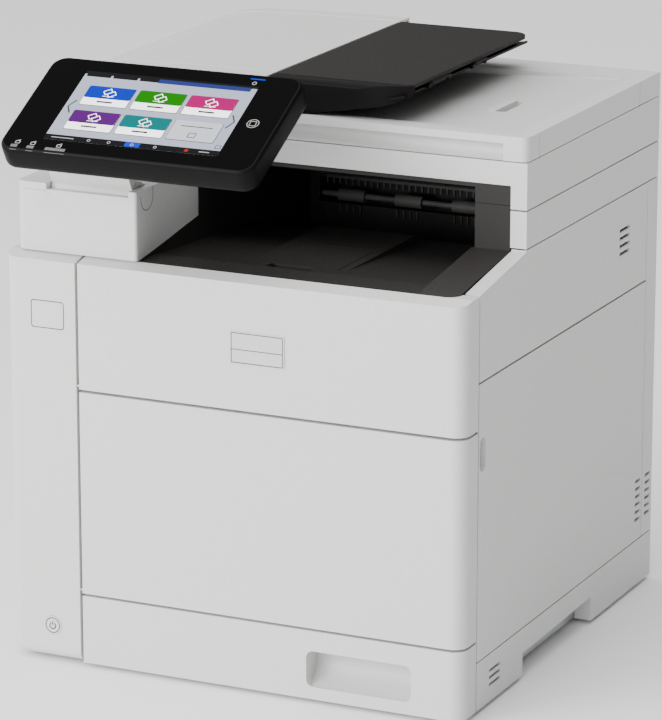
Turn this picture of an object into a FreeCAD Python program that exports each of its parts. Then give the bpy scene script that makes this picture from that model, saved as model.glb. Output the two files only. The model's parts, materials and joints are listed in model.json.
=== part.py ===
"""Desktop photocopier: a colour printer body, scanner, document feeder and tilting operation panel.

Frame: X to the right, Y to the back, Z up, in millimetres. The origin is on the floor, under the
middle of the machine's overall footprint. Depths are given from front_face, the plane of the front covers.
"""
import FreeCAD, Part
import os
import re
import Sketcher

DOC = FreeCAD.newDocument("photocopier")
SHEET = DOC.addObject("Spreadsheet::Sheet", "dims")

DIMENSIONS = {
    # overall body
    "half_width": 210,
    "body_left": -199,
    "rail_inner": 195,
    "front_face": -190.2,
    "back_face": 227.8,
    "skin": 2.5,
    "seam": 1.2,
    "front_seam": 2,
    "play": 0.3,
    "foot_height": 4,
    "front_radius": 12,
    "upper_radius": 6,
    # heights of the seams between the covers
    "rail_top": 44.5,
    "cassette_top": 62,
    "bypass_low": 64.2,
    "bypass_high": 236.4,
    "front_cover_low": 238.8,
    "side_split": 276.4,
    "lip_low": 344,
    "lip_high": 347.5,
    "shoulder_low": 348,
    "shoulder_high": 362,
    "frame_low": 364.5,
    "scanner_low": 396,
    "lid_low": 434.7,
    "lid_high": 455,
    "feeder_high": 484,
    # depths behind the front face
    "lip_depth": 15,
    "corner_depth": 27.5,
    "upper_setback": 122,
    "rear_strip": 23.5,
    "exit_wall": 337,
    # positions across the front
    "column_right": -133,
    "opening_left": -83,
    "opening_right": 196,
    "opening_inner": 165,
    "opening_top": 415,
    # power button and brand plate
    "power_x": -159.5,
    "power_height": 32.4,
    "power_radius": 8,
    "plate_left": 6.5,
    "plate_low": 277.3,
    "plate_width": 48,
    "plate_height": 27,
    # cassette
    "handle_left": 73,
    "handle_right": 165.5,
    "handle_low": 14.5,
    "handle_high": 45,
    "handle_depth": 22,
    "cassette_left": -122,
    "cassette_right": 188,
    "cassette_back": 365,
    "cassette_low": 9,
    "cassette_rim": 58,
    "paper_middle": 38,
    # operation panel, in its own plane measured from the screen's lower left corner
    "panel_x": -141.3,
    "panel_depth": -33.5,
    "panel_height": 452.8,
    "panel_tilt": 28.6,
    "panel_thickness": 22.5,
    "panel_left": -36.5,
    "panel_right": 189.5,
    "panel_low": -15.5,
    "panel_high": 102,
    "screen_width": 154.2,
    "screen_height": 85.9,
    "arm_up_panel": 30.2,
    "arm_reach": 79.4,
    "barrel_radius": 12,
    "hinge_depth": 31,
    "hinge_height": 397.5,
    "mount_left": -193,
    "mount_front": 12,
    "mount_high": 405,
    # document feeder
    "feeder_left": -204,
    "feeder_right": -24,
    "feeder_front": 131,
    "feeder_back": 416,
    "feeder_split": 462,
    "table_right": 86,
    "table_wall": 143,
    "nose_right": 103,
    "nose_start": 55,
    "nose_radius": 102,
    "table_front": 134,
    "table_back": 394,
    "leaf_low": 481,
    # scanner
    "glass_left": -150,
    "glass_right": 155,
    "glass_front": 150,
    "glass_back": 372,
    "lid_hinge_depth": 423,
    "lid_hinge_height": 434.7,
    "cover_hinge_depth": 2,
    "front_cover_hinge": 241.4,
    "bypass_hinge": 66.8,
    "rear_door_depth": 416.75,
    "rear_door_height": 122,
    # interior
    "frame_left": -130.5,
    "frame_right": 193,
    "exit_roller_depth": 341,
    "exit_roller_height": 338,
    "exit_roller_radius": 5.5,
    "fuser_height": 252,
    "fuser_front": 358,
    "fuser_radius": 14,
    "toner_height": 270,
    "toner_radius": 27,
    "toner_pitch": 77,
    "drum_pitch": 58,
    "leaf_hinge_x": 100,
    "leaf_hinge_height": 479.5,
}

for row, (alias, value) in enumerate(DIMENSIONS.items(), 1):
    SHEET.set(f"A{row}", str(value))
    SHEET.setAlias(f"A{row}", alias)
DOC.recompute()

NODES = {}
COUNTER = {"next": 0}


def formula(text):
    """Turn plain words in a size into references to the sheet's cells."""
    return re.sub(r"[a-z][a-z_]*", lambda word: "dims." + word.group(0), str(text))


def number(text):
    return float(SHEET.evalExpression(formula(text)))


def bind(thing, name, text):
    thing.setExpression(name, formula(text))


def deep(text):
    """Y position of a depth behind the front face."""
    return f"front_face + {text}"


def fresh(stem):
    COUNTER["next"] += 1
    return f"{stem}_{COUNTER['next']}"


def node(label, thing):
    thing.Label = label
    NODES[label] = thing
    return thing


# ---- primitives and booleans ----

def box(x, y, z):
    """Block between a low and a high formula on each axis."""
    block = DOC.addObject("Part::Box", fresh("block"))
    for side, axis, (low, high) in zip(("Length", "Width", "Height"), "xyz", (x, y, z)):
        bind(block, side, f"({high}) - ({low})")
        bind(block, f"Placement.Base.{axis}", low)
    return block


TURNS = {"x": ((0, 1, 0), 90), "y": ((1, 0, 0), -90), "z": ((0, 0, 1), 0)}


def rod(axis, radius, span, centre):
    """Cylinder along an axis between two formulas; centre gives the two other coordinates in order."""
    bar = DOC.addObject("Part::Cylinder", fresh("bar"))
    direction, angle = TURNS[axis]
    bar.Placement.Rotation = FreeCAD.Rotation(FreeCAD.Vector(*direction), angle)
    bind(bar, "Radius", radius)
    bind(bar, "Height", f"({span[1]}) - ({span[0]})")
    places = dict(zip([name for name in "xyz" if name != axis], centre))
    places[axis] = span[0]
    for name, text in places.items():
        bind(bar, f"Placement.Base.{name}", text)
    return bar


def fuse(*parts):
    if len(parts) == 1:
        return parts[0]
    joined = DOC.addObject("Part::MultiFuse", fresh("joined"))
    joined.Shapes = list(parts)
    return joined


def cut(base, *tools):
    result = DOC.addObject("Part::Cut", fresh("result"))
    result.Base = base
    result.Tool = fuse(*tools)
    return result


def meet(base, tool):
    """The room two shapes share."""
    result = DOC.addObject("Part::Common", fresh("shared"))
    result.Base = base
    result.Tool = tool
    return result


def group(*parts):
    """Separate solids that share one node."""
    compound = DOC.addObject("Part::Compound", fresh("set"))
    compound.Links = list(parts)
    return compound


# ---- sketched bodies ----

PLANES = {"xy": ("XY_Plane", 1), "xz": ("XZ_Plane", -1), "yz": ("YZ_Plane", 1)}


def rect(across, up):
    return [(across[0], up[0]), (across[1], up[0]), (across[1], up[1]), (across[0], up[1])]


def draw_polygon(sketch, points):
    places = [FreeCAD.Vector(number(u), number(v), 0) for u, v in points]
    count = len(places)
    for index in range(count):
        sketch.addGeometry(Part.LineSegment(places[index], places[(index + 1) % count]))
    for index in range(count):
        sketch.addConstraint(Sketcher.Constraint("Coincident", index, 2, (index + 1) % count, 1))
    for index, (point, place) in enumerate(zip(points, places)):
        for kind, text, value in (("DistanceX", point[0], place.x), ("DistanceY", point[1], place.y)):
            constraint = sketch.addConstraint(Sketcher.Constraint(kind, -1, 1, index, 1, value))
            bind(sketch, f"Constraints[{constraint}]", text)


def draw_circle(sketch, centre_u, centre_v, radius):
    centre = FreeCAD.Vector(number(centre_u), number(centre_v), 0)
    sketch.addGeometry(Part.Circle(centre, FreeCAD.Vector(0, 0, 1), number(radius)))
    drawn = (("DistanceX", (-1, 1, 0, 3, centre.x), centre_u),
             ("DistanceY", (-1, 1, 0, 3, centre.y), centre_v),
             ("Radius", (0, number(radius)), radius))
    for kind, values, text in drawn:
        constraint = sketch.addConstraint(Sketcher.Constraint(kind, *values))
        bind(sketch, f"Constraints[{constraint}]", text)


def draw(body, plane, outline, offset):
    """Sketch on one of the body's origin planes, moved along the plane's axis to a formula."""
    role, sign = PLANES[plane]
    sketch = body.newObject("Sketcher::SketchObject", fresh("sketch"))
    support = [feature for feature in body.Origin.OriginFeatures if feature.Role == role][0]
    sketch.AttachmentSupport = [(support, "")]
    sketch.MapMode = "FlatFace"
    bind(sketch, "AttachmentOffset.Base.z", offset if sign > 0 else f"0 - ({offset})")
    if isinstance(outline, tuple):
        draw_circle(sketch, *outline)
    else:
        draw_polygon(sketch, outline)
    return sketch


def pad(plane, outline, span):
    def add(body):
        start = span[0] if PLANES[plane][1] > 0 else span[1]
        feature = body.newObject("PartDesign::Pad", fresh("pad"))
        feature.Profile = draw(body, plane, outline, start)
        bind(feature, "Length", f"({span[1]}) - ({span[0]})")
        return feature
    return add


def pocket(plane, outline, span):
    def add(body):
        DOC.recompute()
        before = body.Shape.Volume
        start = span[1] if PLANES[plane][1] > 0 else span[0]
        feature = body.newObject("PartDesign::Pocket", fresh("pocket"))
        feature.Profile = draw(body, plane, outline, start)
        bind(feature, "Length", f"({span[1]}) - ({span[0]})")
        DOC.recompute()
        if body.Shape.Volume > before - 0.1:
            raise ValueError(f"{body.Label}: a pocket cuts nothing")
        return feature
    return add


def edge_names(shape, axis, near):
    names = []
    for index, edge in enumerate(shape.Edges, 1):
        if len(edge.Vertexes) != 2:
            continue
        start, end = (vertex.Point for vertex in edge.Vertexes)
        run = end - start
        if any(abs(getattr(run, other)) > 0.01 for other in "xyz" if other != axis):
            continue
        middle = (start + end) / 2
        if all(abs(getattr(middle, name) - number(text)) < 0.05 for name, text in near.items()):
            names.append(f"Edge{index}")
    return names


def rounded(radius, axis, **near):
    """Fillet the straight edges along an axis that pass through the given coordinates."""
    def add(body):
        DOC.recompute()
        base = body.Tip
        names = edge_names(base.Shape, axis, near)
        if not names:
            raise ValueError(f"{body.Label}: no edge along {axis} near {near}")
        feature = body.newObject("PartDesign::Fillet", fresh("round"))
        feature.Base = (base, names)
        bind(feature, "Radius", radius)
        return feature
    return add


def body(*features):
    shell = DOC.addObject("PartDesign::Body", fresh("body"))
    for feature in features:
        feature(shell)
    DOC.recompute()
    return shell


# ---- names for planes that many pieces share ----

FRONT = "front_face"
CORNER = deep("corner_depth")
LIP = deep("lip_depth")
SIDE_FRONT = deep("corner_depth + front_seam")
SIDE_BACK = "back_face - rear_strip - seam"
SETBACK = deep("upper_setback")
LEFT = "0 - half_width"
BODY_LEFT = "body_left"
RIGHT = "half_width"
COVER_LEFT = "column_right + front_seam"
CORNER_BLOCK = "front_radius + 1"
EXIT = deep("exit_wall")


def inset(low, high, amount="skin"):
    return (f"{low} + {amount}", f"{high} - {amount}")


# ---- front covers ----

def front_left_column():
    """Column beside the covers; its right wall carries a hinge pin for each of them."""
    right = "column_right - seam / 2"
    profile = [(FRONT, "foot_height"), (CORNER, "foot_height"), (CORNER, "lip_high"),
               (LIP, "lip_high"), (FRONT, "lip_low")]
    height = inset("foot_height", "lip_low")
    inner = f"{BODY_LEFT} + {CORNER_BLOCK}"
    shell = body(
        pad("yz", profile, (BODY_LEFT, right)),
        rounded("front_radius", "z", x=BODY_LEFT, y=FRONT),
        rounded("8", "y", x=BODY_LEFT, z="foot_height"),
        pocket("xz", rect((inner, f"{right} - skin"), height), (f"{FRONT} + skin", CORNER)),
        pocket("xz", rect((f"{BODY_LEFT} + skin", inner), ("foot_height + 9", height[1])),
               (f"{FRONT} + {CORNER_BLOCK}", CORNER)),
        pocket("xz", ("power_x", "power_height", "power_radius + play"), (FRONT, f"{FRONT} + skin")))
    pins = [rod("x", "1", (f"{right} - 1", f"{COVER_LEFT} + 2"), (deep("cover_hinge_depth"), height))
            for height in ("front_cover_hinge", "bypass_hinge")]
    return fuse(shell, *pins)


def power_button():
    cap = rod("y", "power_radius", (f"{FRONT} - 0.4", f"{FRONT} + 3"), ("power_x", "power_height"))
    stem = rod("y", "3", (f"{FRONT} + 3", f"{FRONT} + 12"), ("power_x", "power_height"))
    return fuse(cap, stem)


def front_shell(profile, low, high, *extra):
    """Cover with a wrapped right-hand corner, open towards the machine."""
    block = f"{RIGHT} - {CORNER_BLOCK}"
    height = inset(low, high)
    return body(
        pad("yz", profile, (COVER_LEFT, RIGHT)),
        rounded("front_radius", "z", x=RIGHT, y=FRONT),
        pocket("xz", rect((f"{COVER_LEFT} + skin", block), height), (f"{FRONT} + skin", CORNER)),
        pocket("xz", rect((block, f"{RIGHT} - skin"), height), (f"{FRONT} + {CORNER_BLOCK}", CORNER)),
        *extra)


def hinge_bore(height):
    """Blind hole in a cover's left end for the column's pin."""
    return rod("x", "1.06", (f"{COVER_LEFT} - 1", f"{COVER_LEFT} + 2.3"), (deep("cover_hinge_depth"), height))


def front_cover():
    low = "front_cover_low"
    profile = [(FRONT, low), (CORNER, low), (CORNER, "lip_high"), (LIP, "lip_high"), (FRONT, "lip_low")]
    behind = (LIP, f"{CORNER} + 1")
    shell = front_shell(
        profile, low, "lip_low",
        pocket("xy", rect((COVER_LEFT, "opening_right"), behind), ("lip_low - skin - 1", "lip_high + 1")),
        pocket("xy", rect((COVER_LEFT, f"{COVER_LEFT} + skin"), behind), (f"{low} + skin", "lip_low")),
        rounded("12", "z", x="opening_right", y=LIP))
    return cut(shell, hinge_bore("front_cover_hinge"))


def brand_plate():
    return box(("plate_left", "plate_left + plate_width"), (f"{FRONT} - 0.8", FRONT),
               ("plate_low", "plate_low + plate_height"))


def bypass_cover():
    """Lower front cover, which folds down to be the bypass tray."""
    shell = front_shell(rect((FRONT, CORNER), ("bypass_low", "bypass_high")), "bypass_low", "bypass_high")
    ribs = [box((f"paper_middle - 106 + {index} * 26.5", f"paper_middle - 104 + {index} * 26.5"),
                (deep("skin"), deep("6")), ("bypass_low + 25", "bypass_high - 12")) for index in range(9)]
    return cut(fuse(shell, *ribs), hinge_bore("bypass_hinge"))


def bypass_guide(side):
    """Paper guide that slides across the bypass tray."""
    def make():
        middle = f"paper_middle + {side} * 108"
        foot = box((f"{middle} - 9", f"{middle} + 9"), (deep("6.3"), deep("8.3")),
                   ("bypass_low + 70", "bypass_low + 130"))
        fin = box((f"{middle} - 1", f"{middle} + 1"), (deep("8.3"), deep("15")),
                  ("bypass_low + 70", "bypass_low + 130"))
        return fuse(foot, fin)
    return make


def cassette_front():
    """Front of the paper cassette with a scooped handle and a lip to pull behind its upper edge."""
    low = "foot_height"
    high = "cassette_top"
    block = f"{RIGHT} - {CORNER_BLOCK}"
    height = inset(low, high)
    across = ("handle_left", "handle_right")
    shell = body(
        pad("yz", rect((FRONT, CORNER), (low, high)), (COVER_LEFT, RIGHT)),
        rounded("front_radius", "z", x=RIGHT, y=FRONT),
        pocket("xz", rect((f"{COVER_LEFT} + skin", "handle_left - 3"), height), (f"{FRONT} + skin", CORNER)),
        pocket("xz", rect(("handle_right + 3", block), height), (f"{FRONT} + skin", CORNER)),
        pocket("xz", rect((block, f"{RIGHT} - skin"), height), (f"{FRONT} + {CORNER_BLOCK}", CORNER)))
    mouth = body(
        pad("xz", rect(across, ("handle_low", "handle_high")), (f"{FRONT} - 1", f"{FRONT} + handle_depth")),
        *[rounded("6", "y", x=x, z=z) for x in across for z in ("handle_low", "handle_high")])
    hollow = fuse(
        rod("x", "handle_depth", across, (FRONT, "handle_low + handle_depth")),
        box(across, (f"{FRONT} - 2", f"{FRONT} + handle_depth"),
            ("handle_low + handle_depth", "handle_high + 1")))
    scoop = meet(mouth, hollow)
    hook = box(("handle_left + 2", "handle_right - 2"), (f"{FRONT} + 9", f"{FRONT} + handle_depth"),
               ("handle_high - 1", "handle_high + 9"))
    return cut(shell, scoop, hook)


# ---- side, rear and base covers ----

def slots(depth_from, depth_to, first, pitch, count, height, x_span):
    """Tools for a column of ventilation slots in a side cover."""
    tools = []
    for index in range(count):
        low = f"{first} + {index} * {pitch}"
        outline = rect((deep(depth_from), deep(depth_to)), (low, f"{low} + {height}"))
        tools.append(pocket("yz", outline, x_span))
    return tools


def right_upper_cover():
    profile = [(SIDE_FRONT, "side_split + seam"), (SIDE_BACK, "side_split + seam"),
               (SIDE_BACK, "frame_low - seam"), (SETBACK, "frame_low - seam"),
               (SETBACK, "shoulder_high"), (SIDE_FRONT, "shoulder_low")]
    inside = [(f"{SIDE_FRONT} - 1", "side_split"), (f"{SIDE_BACK} + 1", "side_split"),
              (f"{SIDE_BACK} + 1", "frame_low + 1"), (f"{SETBACK} + 1", "frame_low + 1"),
              (f"{SETBACK} + 1", "shoulder_high - skin"), (f"{SIDE_FRONT} - 1", "shoulder_low - skin")]
    return body(
        pad("yz", profile, ("opening_right + seam", RIGHT)),
        pocket("yz", inside, ("opening_right - 1", f"{RIGHT} - skin")),
        *slots("329", "352.5", "312", "6.8", 4, "3", (f"{RIGHT} - skin - 1", f"{RIGHT} + 1")))


def right_lower_cover():
    grip = rect((f"{SIDE_FRONT} + 2", f"{SIDE_FRONT} + 14"), ("203", "231"))
    return body(
        pad("yz", rect((SIDE_FRONT, SIDE_BACK), ("rail_top + seam", "side_split - seam / 2")),
            (f"{RIGHT} - skin", RIGHT)),
        pad("yz", rect((SIDE_FRONT, f"{SIDE_FRONT} + 18"), ("198", "235")),
            (f"{RIGHT} - 11", f"{RIGHT} - skin")),
        pocket("yz", grip, (f"{RIGHT} - 8.5", f"{RIGHT} + 1")),
        *[rounded("5.5", "x", y=y, z=z)
          for y in (f"{SIDE_FRONT} + 2", f"{SIDE_FRONT} + 14") for z in ("203", "231")],
        *slots("378", "390.5", "62.5", "7", 6, "3", (f"{RIGHT} - skin - 1", f"{RIGHT} + 1")))


def left_side_cover():
    profile = [(SIDE_FRONT, "rail_top + seam"), (SIDE_BACK, "rail_top + seam"),
               (SIDE_BACK, "frame_low - seam"), (SETBACK, "frame_low - seam"),
               (SETBACK, "shoulder_high"), (SIDE_FRONT, "shoulder_low")]
    inside = [(f"{SIDE_FRONT} - 1", "rail_top"), (f"{SIDE_BACK} + 1", "rail_top"),
              (f"{SIDE_BACK} + 1", "frame_low + 1"), (f"{SETBACK} + 1", "frame_low + 1"),
              (f"{SETBACK} + 1", "shoulder_high - skin"), (f"{SIDE_FRONT} - 1", "shoulder_low - skin")]
    deck_right = "opening_left - skin - seam"
    return body(
        pad("yz", profile, (BODY_LEFT, deck_right)),
        pocket("yz", inside, (f"{BODY_LEFT} + skin", f"{deck_right} + 1")),
        *slots("300", "370", "92", "7", 10, "3", (f"{BODY_LEFT} - 1", f"{BODY_LEFT} + skin + 1")))


REAR_WALL = ("back_face - skin - 1", "back_face + 1")
DOOR_LEFT = "paper_middle - 138.8"
DOOR_RIGHT = "paper_middle + 108.8"


def rear_cover():
    """Rear cover wrapped round both sides, with vents, the access opening and its hinge pins."""
    front = "back_face - rear_strip"
    low = "rail_top + seam"
    vents = [box((f"{RIGHT} - skin - 1", f"{RIGHT} + 1"), (deep("401"), deep("413.5")),
                 (f"62.5 + {index} * 7", f"65.5 + {index} * 7")) for index in range(6)]
    shell = cut(
        box((BODY_LEFT, RIGHT), (front, "back_face"), (low, "frame_low - seam")),
        box((f"{BODY_LEFT} + skin", f"{RIGHT} - skin"), (f"{front} - 1", "back_face - skin"),
            (f"{low} - 1", "frame_low - seam - skin")),
        box((f"{DOOR_LEFT} - 1.2", f"{DOOR_RIGHT} + 1.2"), REAR_WALL, ("rear_door_height - 3", "331")),
        box(("-189", "-159"), REAR_WALL, ("60", "84")),
        box(("-188", "-172"), REAR_WALL, ("234", "248")),
        box(("-188", "-174"), REAR_WALL, ("208", "221")),
        *vents)
    centre = (deep("rear_door_depth"), "rear_door_height")
    pins = [rod("x", "0.8", (f"{DOOR_LEFT} - 3", f"{DOOR_LEFT} + 2"), centre),
            rod("x", "0.8", (f"{DOOR_RIGHT} - 2", f"{DOOR_RIGHT} + 3"), centre)]
    return fuse(shell, *pins)


def rear_access_door():
    low = "rear_door_height - 1.4"
    plate = box((DOOR_LEFT, DOOR_RIGHT), ("back_face - skin", "back_face"), (low, "329.8"))
    ribs = [box((f"{DOOR_LEFT} + 30 + {index} * 37", f"{DOOR_LEFT} + 32 + {index} * 37"),
                ("back_face - skin - 7", "back_face - skin"), ("136", "310")) for index in range(6)]
    notch = box(("paper_middle - 40", "paper_middle + 10"), ("back_face - 1.5", "back_face + 1"),
                ("308", "331"))
    centre = (deep("rear_door_depth"), "rear_door_height")
    bores = [rod("x", "0.86", (f"{DOOR_LEFT} - 1", f"{DOOR_LEFT} + 2.3"), centre),
             rod("x", "0.86", (f"{DOOR_RIGHT} - 2.3", f"{DOOR_RIGHT} + 1"), centre)]
    return cut(fuse(plate, *ribs), notch, *bores)


def base_rail(outer, hollow, wall):
    """Side rail with a hand-hold notch between its feet."""
    outline = [(SIDE_FRONT, "foot_height"), (deep("125"), "foot_height"), (deep("125"), "23"),
               (deep("277"), "25.5"), (deep("277"), "foot_height"), ("back_face", "foot_height"),
               ("back_face", "rail_top"), (SIDE_FRONT, "rail_top")]
    low = "foot_height + skin"
    high = "rail_top - 3"
    return body(
        pad("yz", outline, outer),
        pocket("yz", rect((f"{SIDE_FRONT} + skin", deep("122")), (low, high)), hollow),
        pocket("yz", rect((deep("122"), deep("280")), ("29", high)), hollow),
        pocket("yz", rect((deep("280"), "back_face - skin"), (low, high)), hollow),
        *slots("55", "78", "17", "6", 3, "2.6", wall))


def base_rails():
    """Left and right rails joined across the back."""
    right = base_rail(("rail_inner", RIGHT), ("rail_inner", f"{RIGHT} - skin"),
                      (f"{RIGHT} - skin - 1", RIGHT))
    left = base_rail((BODY_LEFT, "0 - rail_inner + 11"), (f"{BODY_LEFT} + skin", "0 - rail_inner + 11"),
                     (BODY_LEFT, f"{BODY_LEFT} + skin + 1"))
    back = box((f"{BODY_LEFT} + 5", f"{RIGHT} - 5"), ("back_face - skin", "back_face"),
               ("foot_height", "rail_top"))
    return fuse(left, right, back)


def base_plate():
    outer = box(("-183.5", "194.5"), (deep("31"), "back_face - 3"), ("4.5", "6"))
    holes = [rod("z", "12", ("3", "8"), (f"-120 + {index} * 80", "100")) for index in range(4)]
    return cut(outer, *holes)


def rubber_feet():
    feet = []
    for x in ("-165", "175"):
        for depth in ("70", "375"):
            feet.append(rod("z", "9", ("0", "foot_height + 0.5"), (x, deep(depth))))
    return group(*feet)


def exit_frame():
    """White collar round the output space, between the lower covers and the scanner."""
    low = "frame_low"
    high = "scanner_low - seam"
    front = (f"{SETBACK} - 1", f"{SETBACK} + skin + 1")
    return cut(
        box((LEFT, RIGHT), (SETBACK, "back_face"), (low, high)),
        box((f"{LEFT} + skin", f"{RIGHT} - skin"), (f"{SETBACK} + skin", "back_face - skin"),
            (f"{low} - 1", f"{high} + 1")),
        box(("opening_left - 3", "opening_right"), front, (f"{low} - 1", f"{high} + 1")))


def cover_screws():
    """Pan-head screws that hold the rear cover and the scanner's back."""
    heads = []
    for x in ("-192", "203"):
        for height in ("54", "150", "250", "345"):
            heads.append(rod("y", "3", ("back_face", "back_face + 1.5"), (x, height)))
    return group(*heads)


# ---- output space ----

def output_tray():
    across = ("opening_left", "opening_inner")
    floor = [(f"{LIP} + play", "341.7"), (deep("50"), "339"), (deep("218"), "330"), (f"{EXIT} - play", "301"),
             (f"{EXIT} - play", "307.5"), (deep("218"), "337"), (deep("50"), "346"),
             (deep("45"), "lip_high + 0.3"),
             (f"{LIP} + play", "lip_high")]
    ledge = [(f"{LIP} + play", "lip_high - 3"), (f"{SETBACK} + play", "358.6"),
             (f"{SETBACK} + play", "361.6"), (f"{LIP} + play", "lip_high")]
    drop = [(f"{LIP} + play", "342.5"), (f"{SETBACK} + play", "336.5"), (f"{SETBACK} + play", "361.6"),
            (f"{LIP} + play", "lip_high")]
    plateau = [(deep("70"), "339"), (deep("206"), "331"), (deep("206"), "341.5"), (deep("202"), "345"),
               (deep("70"), "345")]
    return body(
        pad("yz", floor, across),
        pad("yz", drop, ("opening_inner - skin", "opening_inner")),
        pad("yz", ledge, ("opening_inner", "opening_right")),
        pad("yz", plateau, ("-8", "78")),
        rounded("12", "z", x="opening_right", y=f"{LIP} + play"),
        pocket("xy", rect(("0", "70"), (deep("66"), deep("140"))), ("341.9", "350")),
        pocket("xy", rect(("12", "52"), (deep("51"), deep("66"))), ("341.9", "350")))


def output_flap():
    """Flap that lifts at its front edge to raise the ends of the sheets."""
    across = ("0.4", "69.6")
    plate = box(across, (deep("66.4"), deep("138.1")), ("342.2", "345.2"))
    barrel = rod("x", "1.5", across, (deep("138.1"), "343.7"))
    return fuse(plate, barrel)


def cavity_left_wall():
    outline = [(deep("16"), "328"), (deep("218"), "326"), (EXIT, "300"), (EXIT, "398.5"),
               (f"{SETBACK} + play", "398.5"),
               (f"{SETBACK} + play", "361.6"), (deep("16"), "lip_high - 0.1")]
    return body(pad("yz", outline, ("opening_left - 3", "opening_left")))


def cavity_right_wall():
    start = f"{SETBACK} + 2 * play"
    outline = [("opening_inner", start), ("opening_right - play", start),
               ("opening_right - play", f"{start} + skin"),
               ("opening_inner + skin", f"{start} + skin"), ("opening_inner + skin", EXIT),
               ("opening_inner", EXIT)]
    return body(pad("xy", outline, ("300", "398.5")))


def cavity_liner():
    """Side walls of the output space and the rear wall with the exit slot."""
    across = ("opening_left", "opening_inner")
    wall = (EXIT, f"{EXIT} + 3")
    lower = box(across, wall, ("301", "331"))
    upper = box(across, wall, ("353", "398.5"))
    left = box((across[0], "-74"), wall, ("331", "353"))
    right = box(("140", across[1]), wall, ("331", "353"))
    chute = [box(("-74", "140"), (f"{EXIT} + 3", f"{EXIT} + 28"), ("353", "355")),
             box(("-74", "140"), (f"{EXIT} + 26", f"{EXIT} + 28"), ("315", "355"))]
    return group(cavity_left_wall(), cavity_right_wall(), fuse(lower, upper, left, right, *chute))


def exit_guide_comb():
    """Ribbed strip above the exit slot that keeps the sheets off the cover."""
    strip = box(("-66", "132"), (f"{EXIT} - 2", EXIT), ("353.5", "356"))
    teeth = [box((f"-66 + {index} * 6", f"-64.6 + {index} * 6"), (f"{EXIT} - 2", EXIT), ("348.5", "353.5"))
             for index in range(33)]
    return fuse(strip, *teeth)


def roller_set(radius, shaft, length, depth, height, ends, centres):
    """Shaft along X with short rubber rollers on it."""
    def make():
        bars = [rod("x", shaft, ends, (deep(depth), height))]
        for centre in centres:
            bars.append(rod("x", radius, (f"{centre} - {length} / 2", f"{centre} + {length} / 2"),
                            (deep(depth), height)))
        return fuse(*bars)
    return make


# ---- scanner ----

def scanner_housing():
    low = "scanner_low"
    high = "lid_low - 0.5"
    outer = box((LEFT, RIGHT), (SETBACK, "back_face"), (low, high))
    inner = box((f"{LEFT} + skin", f"{RIGHT} - skin"), (f"{SETBACK} + skin", "back_face - skin"),
                (f"{low} - 1", f"{high} - skin"))
    opening = box(("opening_left - 3", "opening_right"), (f"{SETBACK} - 1", f"{SETBACK} + skin + 1"),
                  (f"{low} - 1", "opening_top"))
    window = box(("glass_left", "glass_right"), (deep("glass_front"), deep("glass_back")),
                 ("400", f"{high} + 1"))
    slit = box(("-190", "-168"), (deep("glass_front"), deep("glass_back")), ("400", f"{high} + 1"))
    return cut(outer, inner, opening, window, slit)


def scanner_tub():
    """Tray under the glass with the bezel over the output space and the carriage's guide rod."""
    slope = [(f"{SETBACK} + play", "411.5"), (f"{SETBACK} + play", "opening_top - play"),
             (deep("128"), "opening_top - play"),
             (deep("168"), "402.5"), (deep("415"), "402.5"), (deep("415"), "399.5"), (deep("166"), "399.5"),
             (deep("126"), "411.5")]
    wide = rect((deep("166"), deep("415")), ("399.5", "402.5"))
    tub = body(
        pad("yz", slope, ("opening_left - 2.5", "opening_right - 0.5")),
        pad("yz", wide, (f"{LEFT} + 3", "opening_left - 2.5")),
        pad("yz", wide, ("opening_right - 0.5", f"{RIGHT} - 3")))
    fillers = [box(across, (f"{SETBACK} + play", deep("150")), ("398.9", "412"))
               for across in (("opening_inner", "opening_right - 0.5"),
                              ("opening_left - 2.5", "opening_left"))]
    posts = [box((f"{x} - 3", f"{x} + 3"), (deep("284"), deep("296")), ("402.5", "419"))
             for x in (f"{LEFT} + 6", f"{RIGHT} - 6")]
    guide = rod("x", "3", (f"{LEFT} + 3", f"{RIGHT} - 3"), (deep("290"), "415"))
    return fuse(tub, *fillers, *posts, guide)


def platen_glass():
    """Wide glass for pages laid by hand and the narrow one for pages from the feeder."""
    top = "lid_low - 0.5 - skin"
    depth = (deep("glass_front - 5"), deep("glass_back + 5"))
    wide = box(("glass_left - 5", "glass_right + 5"), depth, (f"{top} - 3", top))
    narrow = box(("-193", "-165"), depth, (f"{top} - 3", top))
    return group(wide, narrow)


def scan_carriage():
    low = box(("-189", "-167"), (deep("160"), deep("385")), ("408", "427.5"))
    bore = rod("x", "3.06", ("-192", "-164"), (deep("290"), "415"))
    trough = box(("-182", "-174"), (deep("164"), deep("380")), ("424", "428"))
    return cut(low, bore, trough)


def hinge_bracket(left, right):
    """Fixed half of a lid hinge with its pin, behind the scanner."""
    centre = (deep("lid_hinge_depth"), "lid_hinge_height")
    knuckle = rod("x", "4.5", (left, f"{left} + 18"), centre)
    web = box((left, f"{left} + 18"), ("back_face", centre[0]), ("404", "lid_hinge_height"))
    pin = rod("x", "2", (left, right), centre)
    return fuse(knuckle, web, pin)


def lid_hinges():
    return group(hinge_bracket("-148.6", "-111"), hinge_bracket("92", "129.6"))


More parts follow.
